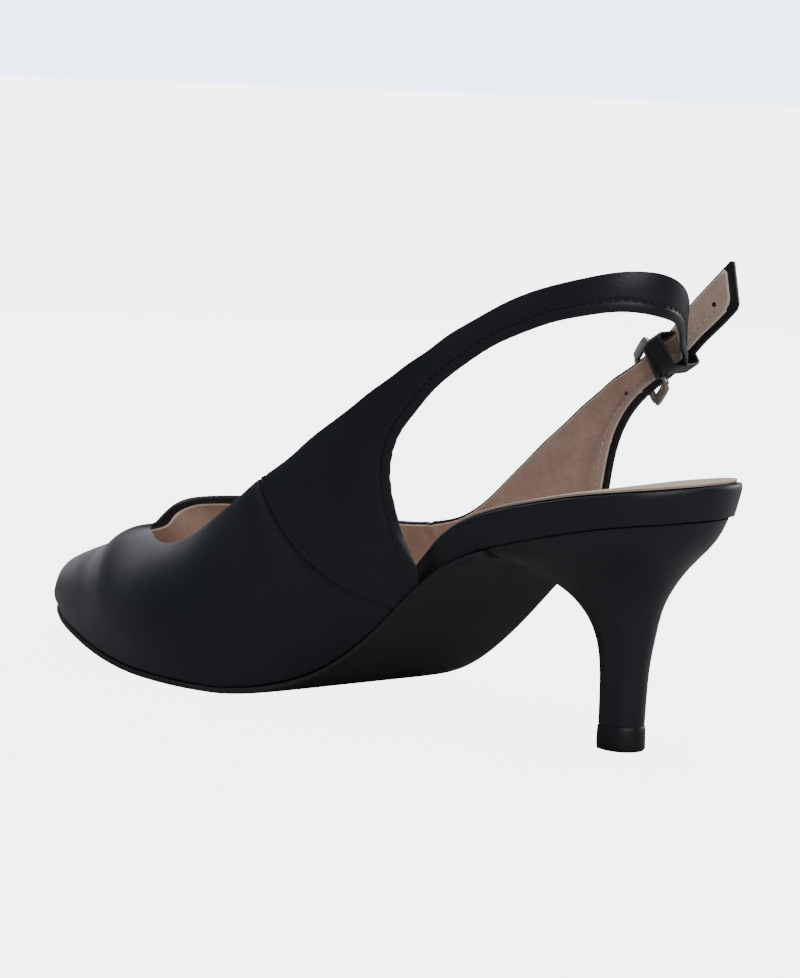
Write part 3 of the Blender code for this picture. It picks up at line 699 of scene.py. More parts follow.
    def thicken(self, wall: float, rounding: float, segments: int = 3) -> "Skin":
        """Gives the patch a wall on its inner side and rounds the wall's edges.

        Args:
            wall: Thickness of the wall.
            rounding: Width of the rounding on each edge.
            segments: Steps of the rounding.

        Returns:
            This skin, for the next step.
        """
        mesh = self.mesh
        cut = mesh.verts.layers.float["cut"]
        mesh.normal_update()
        for v in mesh.verts:
            v[cut] = 1.0 if v.is_boundary else 0.0
        before = [(v, v.normal.copy()) for v in mesh.verts]
        rim = [e for e in mesh.edges if e.is_boundary]
        copied = bmesh.ops.duplicate(mesh, geom=mesh.faces[:])
        twin = {old: new for old, new in copied["vert_map"].items() if isinstance(old, bmesh.types.BMVert)}
        inner = [g for g in copied["geom"] if isinstance(g, bmesh.types.BMFace)]
        bmesh.ops.reverse_faces(mesh, faces=inner)
        for v, normal in before:
            if v in twin:
                twin[v].co = v.co - normal * wall
        edge_twin = [
            e for e in copied["geom"] if isinstance(e, bmesh.types.BMEdge) and e.is_boundary
        ]
        bmesh.ops.bridge_loops(mesh, edges=rim + edge_twin)
        mesh.normal_update()
        if rounding:
            inner_edges = [e for e in mesh.edges if len(e.link_faces) == 2]
            sharp = [e for e in inner_edges if e.calc_face_angle() > WALL_EDGE_ANGLE]
            bmesh.ops.bevel(
                mesh, geom=sharp, offset=rounding, offset_type="OFFSET", segments=segments, profile=0.5,
                affect="EDGES", clamp_overlap=True, material=-1,
            )
        return self


def finished(name: str, mesh: bmesh.types.BMesh, material: bpy.types.Material) -> bpy.types.Object:
    """Makes an object of a mesh, shades it smooth and puts it on the shoe.

    Args:
        name: The piece's name.
        mesh: The mesh, which is freed.
        material: The piece's finish.

    Returns:
        The new object.
    """
    data = bpy.data.meshes.new(name)
    mesh.to_mesh(data)
    mesh.free()
    data.shade_smooth()
    data.set_sharp_from_angle(angle=math.radians(SHADE_ANGLE))
    data.materials.append(material)
    piece = bpy.data.objects.new(name, data)
    bpy.context.scene.collection.objects.link(piece)
    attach(piece, "root")
    LOG.info("%s: %d faces", name, len(data.polygons))
    return piece


def softened(node: str, rounding: float, levels: int, sharp_angle: float = 40.0) -> bmesh.types.BMesh:
    """A smooth copy of a solid.

    Args:
        node: The solid's name.
        rounding: Width of the rounding on its sharp edges.
        levels: How often each face is divided.
        sharp_angle: Edges that turn more than this, in degrees, are rounded.

    Returns:
        The copy's mesh.
    """
    mesh = bmesh.new()
    mesh.from_mesh(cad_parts[node].data)
    bmesh.ops.remove_doubles(mesh, verts=mesh.verts[:], dist=1e-6)
    bmesh.ops.join_triangles(
        mesh, faces=mesh.faces[:], angle_face_threshold=math.radians(35),
        angle_shape_threshold=math.radians(60),
    )
    crease = mesh.edges.layers.float.new("crease_edge")
    for edge in mesh.edges:
        if len(edge.link_faces) == 2 and edge.calc_face_angle() > math.radians(sharp_angle):
            edge[crease] = 1.0
    data = bpy.data.meshes.new(node + "_soft")
    mesh.to_mesh(data)
    mesh.free()
    helper = bpy.data.objects.new(node + "_soft", data)
    bpy.context.scene.collection.objects.link(helper)
    divide = helper.modifiers.new("divide", "SUBSURF")
    divide.levels = divide.render_levels = levels
    mesh = bmesh.new()
    mesh.from_object(helper, bpy.context.evaluated_depsgraph_get())
    bpy.data.objects.remove(helper, do_unlink=True)
    bpy.data.meshes.remove(data)
    if rounding:
        shared = [e for e in mesh.edges if len(e.link_faces) == 2]
        sharp = [e for e in shared if e.calc_face_angle() > math.radians(sharp_angle)]
        bmesh.ops.bevel(
            mesh, geom=sharp, offset=rounding, offset_type="OFFSET", segments=3, profile=0.5,
            affect="EDGES", clamp_overlap=True, material=-1,
        )
    return mesh


class Effects:
    """Shader node groups that several finishes share."""

    def __init__(self) -> None:
        """Makes the groups."""
        self.grain = self._grain()
        self.mottle = self._mottle()

    @staticmethod
    def _group(name: str, inputs: Sequence[tuple[str, float]], outputs: Sequence[str]) -> bpy.types.NodeTree:
        """An empty group with number inputs and outputs.

        Args:
            name: The group's name.
            inputs: Label and first value of each input.
            outputs: Label of each output.

        Returns:
            The empty group.
        """
        tree = bpy.data.node_groups.new(name, "ShaderNodeTree")
        for label, value in inputs:
            socket = tree.interface.new_socket(label, in_out="INPUT", socket_type="NodeSocketFloat")
            socket.default_value = value
        for label in outputs:
            tree.interface.new_socket(label, in_out="OUTPUT", socket_type="NodeSocketFloat")
        return tree

    def _grain(self) -> bpy.types.NodeTree:
        """Pebbles and pores of a leather, as a height.

        Returns:
            The group.
        """
        tree = self._group("leather grain", [("Pebbles per metre", 1500.0), ("Pore share", 0.4)], ["Height"])
        nodes, link = tree.nodes, tree.links.new
        source, out = nodes.new("NodeGroupInput"), nodes.new("NodeGroupOutput")
        place = nodes.new("ShaderNodeTexCoord")
        warp = nodes.new("ShaderNodeTexNoise")
        warp.inputs["Scale"].default_value = 240.0
        warp.inputs["Detail"].default_value = 3.0
        shift = nodes.new("ShaderNodeVectorMath")
        shift.operation = "MULTIPLY_ADD"
        shift.inputs[1].default_value = (0.0009, 0.0009, 0.0009)
        link(place.outputs["Object"], warp.inputs["Vector"])
        link(warp.outputs["Color"], shift.inputs[0])
        link(place.outputs["Object"], shift.inputs[2])
        pebble = nodes.new("ShaderNodeTexVoronoi")
        pebble.feature = "SMOOTH_F1"
        pebble.inputs["Smoothness"].default_value = 0.35
        link(shift.outputs[0], pebble.inputs["Vector"])
        link(source.outputs["Pebbles per metre"], pebble.inputs["Scale"])
        pores = nodes.new("ShaderNodeTexNoise")
        pores.inputs["Detail"].default_value = 4.0
        pores.inputs["Roughness"].default_value = 0.65
        link(place.outputs["Object"], pores.inputs["Vector"])
        link(source.outputs["Pebbles per metre"], pores.inputs["Scale"])
        round_off = nodes.new("ShaderNodeMath")
        round_off.operation = "POWER"
        round_off.inputs[1].default_value = 1.6
        link(pebble.outputs["Distance"], round_off.inputs[0])
        mix = nodes.new("ShaderNodeMix")
        link(source.outputs["Pore share"], mix.inputs["Factor"])
        link(round_off.outputs[0], mix.inputs["A"])
        link(pores.outputs["Fac"], mix.inputs["B"])
        link(mix.outputs["Result"], out.inputs["Height"])
        return tree

    def _mottle(self) -> bpy.types.NodeTree:
        """Soft patches of two sizes, as a number around a half.

        Returns:
            The group.
        """
        tree = self._group("soft mottle", [("Patches per metre", 60.0)], ["Amount"])
        nodes, link = tree.nodes, tree.links.new
        source, out = nodes.new("NodeGroupInput"), nodes.new("NodeGroupOutput")
        place = nodes.new("ShaderNodeTexCoord")
        noise = nodes.new("ShaderNodeTexNoise")
        noise.inputs["Detail"].default_value = 6.0
        noise.inputs["Roughness"].default_value = 0.55
        link(place.outputs["Object"], noise.inputs["Vector"])
        link(source.outputs["Patches per metre"], noise.inputs["Scale"])
        link(noise.outputs["Fac"], out.inputs["Amount"])
        return tree


@dataclass(frozen=True)
class Finish:
    """One surface finish.

    Colours are linear. A pair of colours or of roughness values is spread over the surface in soft patches.
    """

    name: str
    dark: tuple[float, float, float]
    light: tuple[float, float, float]
    roughness: tuple[float, float]
    pebbles: float = 1500.0
    pores: float = 0.4
    relief: float = 0.00005
    patches: float = 60.0
    coat: float = 0.0
    coat_roughness: float = 0.3
    metallic: float = 0.0
    sheen: float = 0.0
    specular: float = 0.5
    pore_shade: float = 0.0
    cut_colour: tuple[float, float, float] | None = None
    border_colour: tuple[float, float, float] | None = None
    border_width: float = 0.0034

    def build(self, effects: Effects) -> bpy.types.Material:
        """Makes the material.

        Args:
            effects: The groups for grain and patches.

        Returns:
            The finished material.
        """
        material = bpy.data.materials.new(self.name)
        material.use_nodes = True
        nodes, link = material.node_tree.nodes, material.node_tree.links.new
        shader = nodes["Principled BSDF"]
        shader.inputs["Metallic"].default_value = self.metallic
        shader.inputs["Coat Weight"].default_value = self.coat
        shader.inputs["Coat Roughness"].default_value = self.coat_roughness
        shader.inputs["Sheen Weight"].default_value = self.sheen
        shader.inputs["Specular IOR Level"].default_value = self.specular
        mottle = nodes.new("ShaderNodeGroup")
        mottle.node_tree = effects.mottle
        mottle.inputs["Patches per metre"].default_value = self.patches
        colour = nodes.new("ShaderNodeMix")
        colour.data_type = "RGBA"
        colour.inputs["A"].default_value = (*self.dark, 1)
        colour.inputs["B"].default_value = (*self.light, 1)
        spread = nodes.new("ShaderNodeMapRange")
        spread.inputs["From Min"].default_value = 0.32
        spread.inputs["From Max"].default_value = 0.68
        link(mottle.outputs["Amount"], spread.inputs["Value"])
        link(spread.outputs["Result"], colour.inputs["Factor"])
        shown = colour.outputs["Result"]
        grain = nodes.new("ShaderNodeGroup")
        grain.node_tree = effects.grain
        grain.inputs["Pebbles per metre"].default_value = self.pebbles
        grain.inputs["Pore share"].default_value = self.pores
        if self.border_colour:
            shown = self._masked(material, shown, "rear_gap", self.border_width, -0.0009, self.border_colour)
        if self.pore_shade:
            shade = nodes.new("ShaderNodeMapRange")
            shade.inputs["From Min"].default_value = 0.25
            shade.inputs["From Max"].default_value = 0.55
            shade.inputs["To Min"].default_value = 1.0 - self.pore_shade
            link(grain.outputs["Height"], shade.inputs["Value"])
            tint = nodes.new("ShaderNodeVectorMath")
            tint.operation = "SCALE"
            link(shown, tint.inputs[0])
            link(shade.outputs["Result"], tint.inputs["Scale"])
            shown = tint.outputs["Vector"]
        if self.cut_colour:
            shown = self._masked(material, shown, "margin", 0.0002, -0.0003, self.cut_colour)
        link(shown, shader.inputs["Base Color"])
        gloss = nodes.new("ShaderNodeMapRange")
        gloss.inputs["From Min"].default_value = 0.3
        gloss.inputs["From Max"].default_value = 0.7
        gloss.inputs["To Min"].default_value = self.roughness[0]
        gloss.inputs["To Max"].default_value = self.roughness[1]
        link(mottle.outputs["Amount"], gloss.inputs["Value"])
        link(gloss.outputs["Result"], shader.inputs["Roughness"])
        if self.relief:
            bump = nodes.new("ShaderNodeBump")
            bump.inputs["Strength"].default_value = 1.0
            bump.inputs["Distance"].default_value = self.relief
            link(grain.outputs["Height"], bump.inputs["Height"])
            link(bump.outputs["Normal"], shader.inputs["Normal"])
        return material

    @staticmethod
    def _masked(
        material: bpy.types.Material, below: bpy.types.NodeSocket, layer: str, place: float, width: float,
        colour: tuple[float, float, float],
    ) -> bpy.types.NodeSocket:
        """Lays a colour over another where a layer of the mesh passes a value.

        Args:
            material: The material to add nodes to.
            below: The colour underneath.
            layer: The mesh layer's name.
            place: Value where the change starts.
            width: Length of the change, negative where the colour lies below the value.
            colour: The colour on top.

        Returns:
            The mixed colour.
        """
        nodes, link = material.node_tree.nodes, material.node_tree.links.new
        read = nodes.new("ShaderNodeAttribute")
        read.attribute_name = layer
        step = nodes.new("ShaderNodeMapRange")
        step.interpolation_type = "SMOOTHSTEP"
        step.inputs["From Min"].default_value = place
        step.inputs["From Max"].default_value = place + abs(width)
        step.inputs["To Min"].default_value = 0.0 if width > 0 else 1.0
        step.inputs["To Max"].default_value = 1.0 if width > 0 else 0.0
        link(read.outputs["Fac"], step.inputs["Value"])
        mix = nodes.new("ShaderNodeMix")
        mix.data_type = "RGBA"
        link(step.outputs["Result"], mix.inputs["Factor"])
        link(below, mix.inputs["A"])
        mix.inputs["B"].default_value = (*colour, 1)
        return mix.outputs["Result"]


class Finishes:
    """All the shoe's materials."""

    def __init__(self) -> None:
        """Makes every material."""
        effects = Effects()
        black = (0.0084, 0.0085, 0.0120)
        soft_black = (0.0112, 0.0113, 0.0152)
        self.leather = Finish(
            "black_leather", black, soft_black, (0.42, 0.52), pebbles=1500, relief=0.00005, coat=0.10,
            coat_roughness=0.34, specular=0.40,
        ).build(effects)
        self.heel = Finish(
            "heel_cover_leather", black, soft_black, (0.36, 0.46), pebbles=1700, relief=0.00003, coat=0.15,
            coat_roughness=0.3, specular=0.42,
        ).build(effects)
        self.lining = Finish(
            "lining_leather", (0.47, 0.325, 0.255), (0.58, 0.42, 0.335), (0.66, 0.8), pebbles=1900, pores=0.7,
            relief=0.00009, pore_shade=0.20, patches=140, specular=0.3, sheen=0.05,
            cut_colour=(0.74, 0.62, 0.52), border_colour=(0.52, 0.39, 0.31),
        ).build(effects)
        self.sock = Finish(
            "sock_leather", (0.58, 0.44, 0.35), (0.66, 0.51, 0.41), (0.62, 0.76), pebbles=1100, pores=0.6,
            relief=0.00006, pore_shade=0.2, patches=90, specular=0.3, sheen=0.05,
        ).build(effects)
        self.outsole = Finish(
            "outsole_rubber", (0.024, 0.024, 0.026), (0.032, 0.032, 0.034), (0.62, 0.78),
            pebbles=2600, pores=0.9,
            relief=0.00004, specular=0.35,
        ).build(effects)
        self.lift = Finish(
            "top_lift_rubber", (0.010, 0.010, 0.011), (0.014, 0.014, 0.016), (0.42, 0.55),
            pebbles=2600, pores=0.9,
            relief=0.00002, specular=0.4,
        ).build(effects)
        self.metal = Finish(
            "pewter_metal", (0.30, 0.29, 0.27), (0.44, 0.42, 0.38), (0.20, 0.34),
            relief=0.000004, pebbles=3000,
            pores=1.0, patches=300, metallic=1.0,
        ).build(effects)
        self.thread = Finish(
            "black_thread", (0.003, 0.003, 0.004), (0.006, 0.006, 0.007), (0.5, 0.65),
            pebbles=5000, relief=0.00004,
        ).build(effects)
        self.pale_thread = Finish(
            "pale_thread", (0.50, 0.38, 0.29), (0.62, 0.49, 0.39), (0.6, 0.75), pebbles=5000, relief=0.00004,
        ).build(effects)
        # Painted shade: the strap holes are not cut, so a near-black finish stands in for the shaded inside
        # seen through them.
        self.hole = Finish(
            "hole_painted_shade", (0.004, 0.003, 0.003), (0.006, 0.005, 0.005), (0.9, 0.95), relief=0,
        ).build(effects)


def folds(side: np.ndarray, place: np.ndarray, share: np.ndarray, form: UpperForm) -> np.ndarray:
    """Soft troughs and ridges of the whole wall, as a distance outward at each point.

    Args:
        side: 1 on the medial side and -1 on the lateral side.
        place: Distance along the side.
        share: How far up the section.
        form: The upper's surface.

    Returns:
        The distance, positive outward.
    """
    outer = side < 0
    buckle = form.strap_end[Side.LATERAL]
    channel = smooth(place, buckle - 0.092, buckle - 0.070)
    channel = channel * (1 - smooth(place, buckle - 0.042, buckle - 0.030))
    amount = 0.00085 * outer * channel * hump(share, 0.46 + 0.6 * (buckle - 0.05 - place), 0.13)
    amount -= 0.00045 * outer * channel * hump(share, 0.22 + 0.6 * (buckle - 0.05 - place), 0.12)
    strap = smooth(place, form.strap_end[Side.MEDIAL] - 0.12, form.strap_end[Side.MEDIAL] - 0.06) * (side > 0)
    amount += 0.00012 * strap * np.sin(place * 260.0) * hump(share, 0.7, 0.4)
    return amount


@dataclass
class Upper:
    """The upper: vamp, two quarters, lining and the stitch rows."""

    finishes: Finishes
    form: UpperForm
    leather_wall: float = 0.00102
    lining_wall: float = 0.00050
    lining_gap: float = 0.00004
    throat_turning: float = 0.0021
    strap_turning: float = 0.0006
    tip_turning: float = 0.0022
    rear_turning: float = 0.0017
    stitch_margin: float = 0.0031
    stitch_pitch: float = 0.0023
    stitch_length: float = 0.00175
    seam_lap: float = 0.0011
    edge_rounding: float = 0.00055
    hole_step: float = 0.0130

    def build(self) -> list[bpy.types.Object]:
        """Makes every piece of the upper and returns them.

        Returns:
            All the pieces.
        """
        pieces = [self.vamp(), self.quarter(Side.MEDIAL), self.quarter(Side.LATERAL), self.lining()]
        for piece in pieces:
            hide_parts("upper")
        pieces += self.stitches()
        pieces.append(self.strap_holes())
        return pieces

    def _wave(self, skin: Skin) -> np.ndarray:
        """The wall's own folds at a skin's points.

        Args:
            skin: The skin to read.

        Returns:
            One distance for each point, positive outward.
        """
        side, place = skin.values("side"), skin.values("place")
        strap = smooth(place, self.form.split + 0.060, self.form.split + 0.110)
        edge = np.clip(1 - skin.values("top_gap") / 0.0055, 0, 1)
        rounded = self.edge_rounding * strap * (side > 0) * edge**2
        return folds(side, place, skin.values("share"), self.form) - rounded

    def vamp(self) -> bpy.types.Object:
        """The front piece, which tucks under both quarters at their seams.

        Returns:
            The piece.
        """
        form = self.form
        end = {side: form.seam[side] + self.seam_lap for side in Side}
        skin = Skin(form, tuple(Side)).build({side: 0.0 for side in Side}, end)
        side, place = skin.values("side"), skin.values("place")
        seam = np.where(side > 0, form.seam[Side.MEDIAL], form.seam[Side.LATERAL])
        tuck = -0.00075 * smooth(place - seam, -0.0019, -0.0003)
        tuck += 0.00012 * hump(place - seam, -0.0030, 0.0011)
        skin.ease_front().push(self._wave(skin) + tuck).thicken(self.leather_wall, 0.0004)
        return finished("vamp", skin.mesh, self.finishes.leather)

    def quarter(self, side: Side) -> bpy.types.Object:
        """One quarter with its strap: its front edge is turned in over the vamp, its rear edge is stitched.

        Args:
            side: Which side of the shoe.

        Returns:
            The piece.
        """
        form = self.form
        skin = Skin(form, (side,)).build({side: form.seam[side] - 0.0001}, {side: form.full_end[side]})
        if side is Side.LATERAL:
            skin.round_tail(0.0013)
        place, rear = skin.values("place"), skin.values("rear_gap")
        after = place - form.seam[side]
        raised = SEAM_STEP * (1 - smooth(after, 0.006, 0.030))
        lip = 0.00018 * hump(after, 0.0007, 0.0008) - 0.00030 * hump(after, 0.0019, 0.00045)
        free = 1 - smooth(place, form.strap_end[side] - 0.006, form.strap_end[side] - 0.001)
        pad = 0.00030 * np.sin(np.pi * np.clip(rear / self.stitch_margin, 0, 1)) ** 0.8
        groove = -0.00022 * hump(rear, self.stitch_margin, 0.00045)
        skin.push(self._wave(skin) + raised + lip + (pad + groove) * free)
        skin.thicken(self.leather_wall, 0.00046)
        name = "quarter_inner_side" if side is Side.MEDIAL else "quarter_outer_side"
        return finished(name, skin.mesh, self.finishes.leather)

    def lining(self) -> bpy.types.Object:
        """The lining inside vamp, quarters and straps, trimmed a little inside the folded edges.

        Returns:
            The piece.
        """
        form = self.form
        end = {side: form.strap_end[side] for side in Side}
        skin = Skin(form, tuple(Side), row_step=0.0013).build({side: 0.0 for side in Side}, end)
        along = skin.values("place") - form.split
        throat = self.throat_turning * (1 - smooth(along, 0.035, 0.075))
        skin.trim(skin.values("top_gap") - self.strap_turning - throat)
        skin.trim(skin.values("rear_gap") - self.rear_turning)
        skin.trim(skin.values("tip_gap") - self.tip_turning)
        skin.round_tail(0.0014, self.tip_turning, self.strap_turning)
        skin.measure_margin()
        free = 1 - smooth(skin.values("place"), form.split, form.split + 0.02)
        inside = -(self.leather_wall + self.lining_gap)
        dip = -0.00008 * hump(skin.values("rear_gap"), self.rear_turning + 0.0022, 0.0006) * (1 - free)
        seam = np.where(skin.values("side") > 0, form.seam[Side.MEDIAL], form.seam[Side.LATERAL])
        ridge = -0.00055 * hump(skin.values("place") - seam, 0.0003, 0.0018)
        skin.ease_front().push(self._wave(skin) + inside - dip + ridge)
        skin.thicken(self.lining_wall, 0.00014, segments=2)
        return finished("lining", skin.mesh, self.finishes.lining)

    def _stitch_line(
        self, side: Side, margin: float, start: float, end: float
    ) -> tuple[np.ndarray, np.ndarray]:
        """Place and share of points at a margin inside the free rear edge, a stitch apart.

        Args:
            side: Which side of the shoe.
            margin: Distance from the free edge.
            start: First place.
            end: Last place.

        Returns:
            The places and the shares.
        """
        form = self.form
        rear = form.edge(side, form.lasted_end[side], form.strap_end[side], 0.0)
        places = np.arange(start, end, 0.0006)
        shares = np.linspace(0, 0.75, 46)
        grid = np.array([form.points(side, np.full(46, p), shares) for p in places])
        gap = nearness(grid.reshape(-1, 3), rear).reshape(grid.shape[:2])
        share = np.array([np.interp(margin, np.maximum.accumulate(row), shares) for row in gap])
        line = form.points(side, places, share)
        length = np.concatenate([[0], np.cumsum(np.linalg.norm(np.diff(line, axis=0), axis=1))])
        stops = np.arange(self.stitch_pitch, length[-1], self.stitch_pitch)
        return np.interp(stops, length, places), np.interp(stops, length, share)

    def _stitch_row(
        self, name: str, side: Side, margin: float, depth: float, material: bpy.types.Material,
        start: float, end: float,
    ) -> bpy.types.Object:
        """One row of stitches.

        Args:
            name: The row's name.
            side: Which side of the shoe.
            margin: Distance from the free edge.
            depth: How far out from the surface the thread's middle lies.
            material: The thread.
            start: First place.
            end: Last place.

        Returns:
            The row as one piece.
        """
        place, share = self._stitch_line(side, margin, start, end)
        form = self.form
        wave = folds(np.full(len(place), side.value), place, share, form)
        normal = form.normals(side, place, share)
        where = form.points(side, place, share) + normal * (wave + depth)[:, None]
        mesh = bmesh.new()
        for i in range(1, len(where) - 1):
            ahead = Vector(where[i + 1] - where[i - 1]).normalized()
            out = Vector(normal[i])
            across = out.cross(ahead).normalized()
            out = ahead.cross(across)
            turn = Matrix((ahead, across, out)).transposed().to_4x4()
            size = Matrix.Diagonal((self.stitch_length / 2, 0.00021, 0.00017, 1))
            spot = Matrix.Translation(Vector(where[i]))
            bmesh.ops.create_icosphere(mesh, subdivisions=2, radius=1.0, matrix=spot @ turn @ size)
        return finished(name, mesh, material)

    def stitches(self) -> list[bpy.types.Object]:
        """Rows outside in black and inside in a pale thread, along both free edges.

        Returns:
            One piece for each row.
        """
        form, finishes = self.form, self.finishes
        inside = -(self.leather_wall + self.lining_gap + self.lining_wall) - 0.00004
        rows = []
        for side, word in ((Side.MEDIAL, "inner"), (Side.LATERAL, "outer")):
            start, end = form.lasted_end[side] + 0.004, form.strap_end[side] - 0.005
            outside = 0.00002
            margin = self.rear_turning + 0.0022
            kinds = (
                (f"stitches_{word}_side", self.stitch_margin, outside, finishes.thread),
                (f"lining_stitches_{word}_side", margin, inside, finishes.pale_thread),
            )
            for name, inset, depth, thread in kinds:
                rows.append(self._stitch_row(name, side, inset, depth, thread, start, end))
        return rows

    def strap_holes(self) -> bpy.types.Object:
        """The punched holes of the buckling strap, as dark cups of painted shade that show on both faces.

        Returns:
            The piece.
        """
        form = self.form
        place = np.linspace(form.strap_end[Side.LATERAL] - 0.075, form.strap_end[Side.LATERAL] - 0.004, 240)
        share = np.full(len(place), 0.5)
        line = form.points(Side.LATERAL, place, share)
        normal = form.normals(Side.LATERAL, place, share)
        wave = folds(np.full(len(place), -1), place, share, form)
        first = int(np.argmin(np.linalg.norm(line[:, [0, 2]] - (0.0251, 0.0902), axis=1)))
        length = np.concatenate([[0], np.cumsum(np.linalg.norm(np.diff(line, axis=0), axis=1))])
        mesh = bmesh.new()
        for k in range(4):
            i = int(np.argmin(np.abs(length - length[first] - self.hole_step * k)))
            wall = self.leather_wall + self.lining_gap + self.lining_wall
            turn = Vector(normal[i]).to_track_quat("Z", "Y").to_matrix().to_4x4()
            middle = line[i] + normal[i] * (wave[i] - wall / 2)
            # Each hole is a closed dark cylinder through the wall, painted shade in place of an opening.
            bmesh.ops.create_cone(
                mesh, cap_ends=True, segments=16, radius1=0.00062, radius2=0.00062, depth=wall + 0.00014,
                matrix=Matrix.Translation(Vector(middle)) @ turn,
            )
        return finished("strap_holes", mesh, self.finishes.hole)


@dataclass
class Bottom:
    """Outsole, footbed and sock."""

    finishes: Finishes
    sock_drop: float = 0.00022

    def build(self) -> list[bpy.types.Object]:
        """Makes the three pieces and returns them.

        Returns:
            The pieces.
        """
        rows = (
            ("outsole", "outsole_sheet", self.finishes.outsole, "outsole_rubber", 0.00025, 2),
            ("footbed", "wrapped_footbed", self.finishes.leather, "footbed_leather", 0.0007, 2),
            ("sock", "sock_cover", self.finishes.sock, "sock_lining", 0.0002, 2),
        )
        pieces = []
        for node, name, material, slot, rounding, levels in rows:
            mesh = softened(node, rounding, levels)
            if node == "sock":
                bmesh.ops.translate(mesh, verts=mesh.verts[:], vec=(0, 0, -self.sock_drop))
            piece = finished(name, mesh, material)
            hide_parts(node)
            pieces.append(piece)
        return pieces


@dataclass
class HeelUnit:
    """The covered heel and its top lift."""

    finishes: Finishes
    seating: float = 0.0009
    foot_drop: float = 0.0005

    def build(self) -> list[bpy.types.Object]:
        """Makes both pieces and returns them.

        Returns:
            The pieces.
        """
        mesh = softened("heel", 0.0005, 2, 38.0)
        for v in mesh.verts:
            raised = self.seating * float(smooth(v.co.z, 0.034, 0.052))
            v.co.z += raised - self.foot_drop * float(1 - smooth(v.co.z, 0.008, 0.016))
        heel = finished("covered_heel", mesh, self.finishes.heel)
        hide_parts("heel")
        lift = finished("heel_tip", softened("top_lift", 0.0002, 1, 38.0), self.finishes.lift)
        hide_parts("top_lift")
        return [heel, lift]


@dataclass
class Buckle:
    """Frame, prong and the leather keeper behind them."""

    finishes: Finishes
    form: UpperForm
    frame_swell: float = 0.00010
    wire: float = 0.00065
    band_extra: float = 0.0012
    keeper_across: float = 0.70
    keeper_depth: float = 0.90
    keeper_drop: float = 0.0006
    keeper_outward: float = 0.0004

    def build(self) -> list[bpy.types.Object]:
        """Makes the three pieces and returns them.

        Returns:
            The pieces.
        """
        pieces = []
        rows = (("buckle_frame", "frame_ring", self.frame_swell), ("buckle_prong", "prong", 0.0001))
        for node, name, swell in rows:
            mesh = softened(node, 0.0, 2)
            mesh.normal_update()
            for v in mesh.verts:
                v.co += v.normal * swell
            if node == "buckle_frame":
                self._widen(mesh)
            pieces.append(finished(name, mesh, self.finishes.metal))
            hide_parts(node)
        pieces.append(finished("keeper_band", self._keeper(), self.finishes.leather))
        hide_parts("keeper_loop")
        return pieces

    def _widen(self, mesh: bmesh.types.BMesh) -> None:
        """Widens the wire ring inward to a flat band, but for the bar inside the strap's fold.

        Args:
            mesh: The mesh to change.
        """
        places = np.array([v.co for v in mesh.verts])
        centre = (places.max(axis=0) + places.min(axis=0)) / 2
        axes = np.linalg.svd(places - places.mean(axis=0), full_matrices=False)[2][:2]
        flat = (places - centre) @ axes.T
        reach = np.abs(flat).max(axis=0)
        bar = self.form.points(Side.MEDIAL, np.array([self.form.strap_end[Side.MEDIAL]]), np.array([0.5]))[0]
        behind = (bar - centre) @ axes.T / reach
        for v, here in zip(mesh.verts, flat):
            share = np.abs(here) / reach
            side = int(np.argmax(share))
            if abs(behind[side]) > 0.7 and here[side] * behind[side] > 0:
                continue
            depth = (reach[side] - abs(here[side])) / (2 * self.wire)
            inner = float(smooth(depth, 0.35, 0.75))
            v.co -= Vector(axes[side]) * math.copysign(self.band_extra * inner, here[side])

    def _keeper(self) -> bmesh.types.BMesh:
        """The keeper drawn closer round the strap's end and the tail than its solid is.

        Returns:
            The band's mesh.
        """
        mesh = softened("keeper_loop", 0.0002, 2)
        end = self.form.strap_end[Side.MEDIAL]
        back, front = self.form.points(Side.MEDIAL, np.array([end - 0.004, end]), np.array([0.5, 0.5]))
        level = Vector((front[0] - back[0], 0, front[2] - back[2])).normalized()
        upright = Vector((-level.z, 0, level.x))
        upright *= math.copysign(1.0, upright.z)
        centre = sum((v.co for v in mesh.verts), Vector()) / len(mesh.verts)
        for v in mesh.verts:
            arm = v.co - centre
            v.co += upright * (arm.dot(upright) * (self.keeper_across - 1) - self.keeper_drop)
            v.co.y += arm.y * (self.keeper_depth - 1) - self.keeper_outward
        return mesh


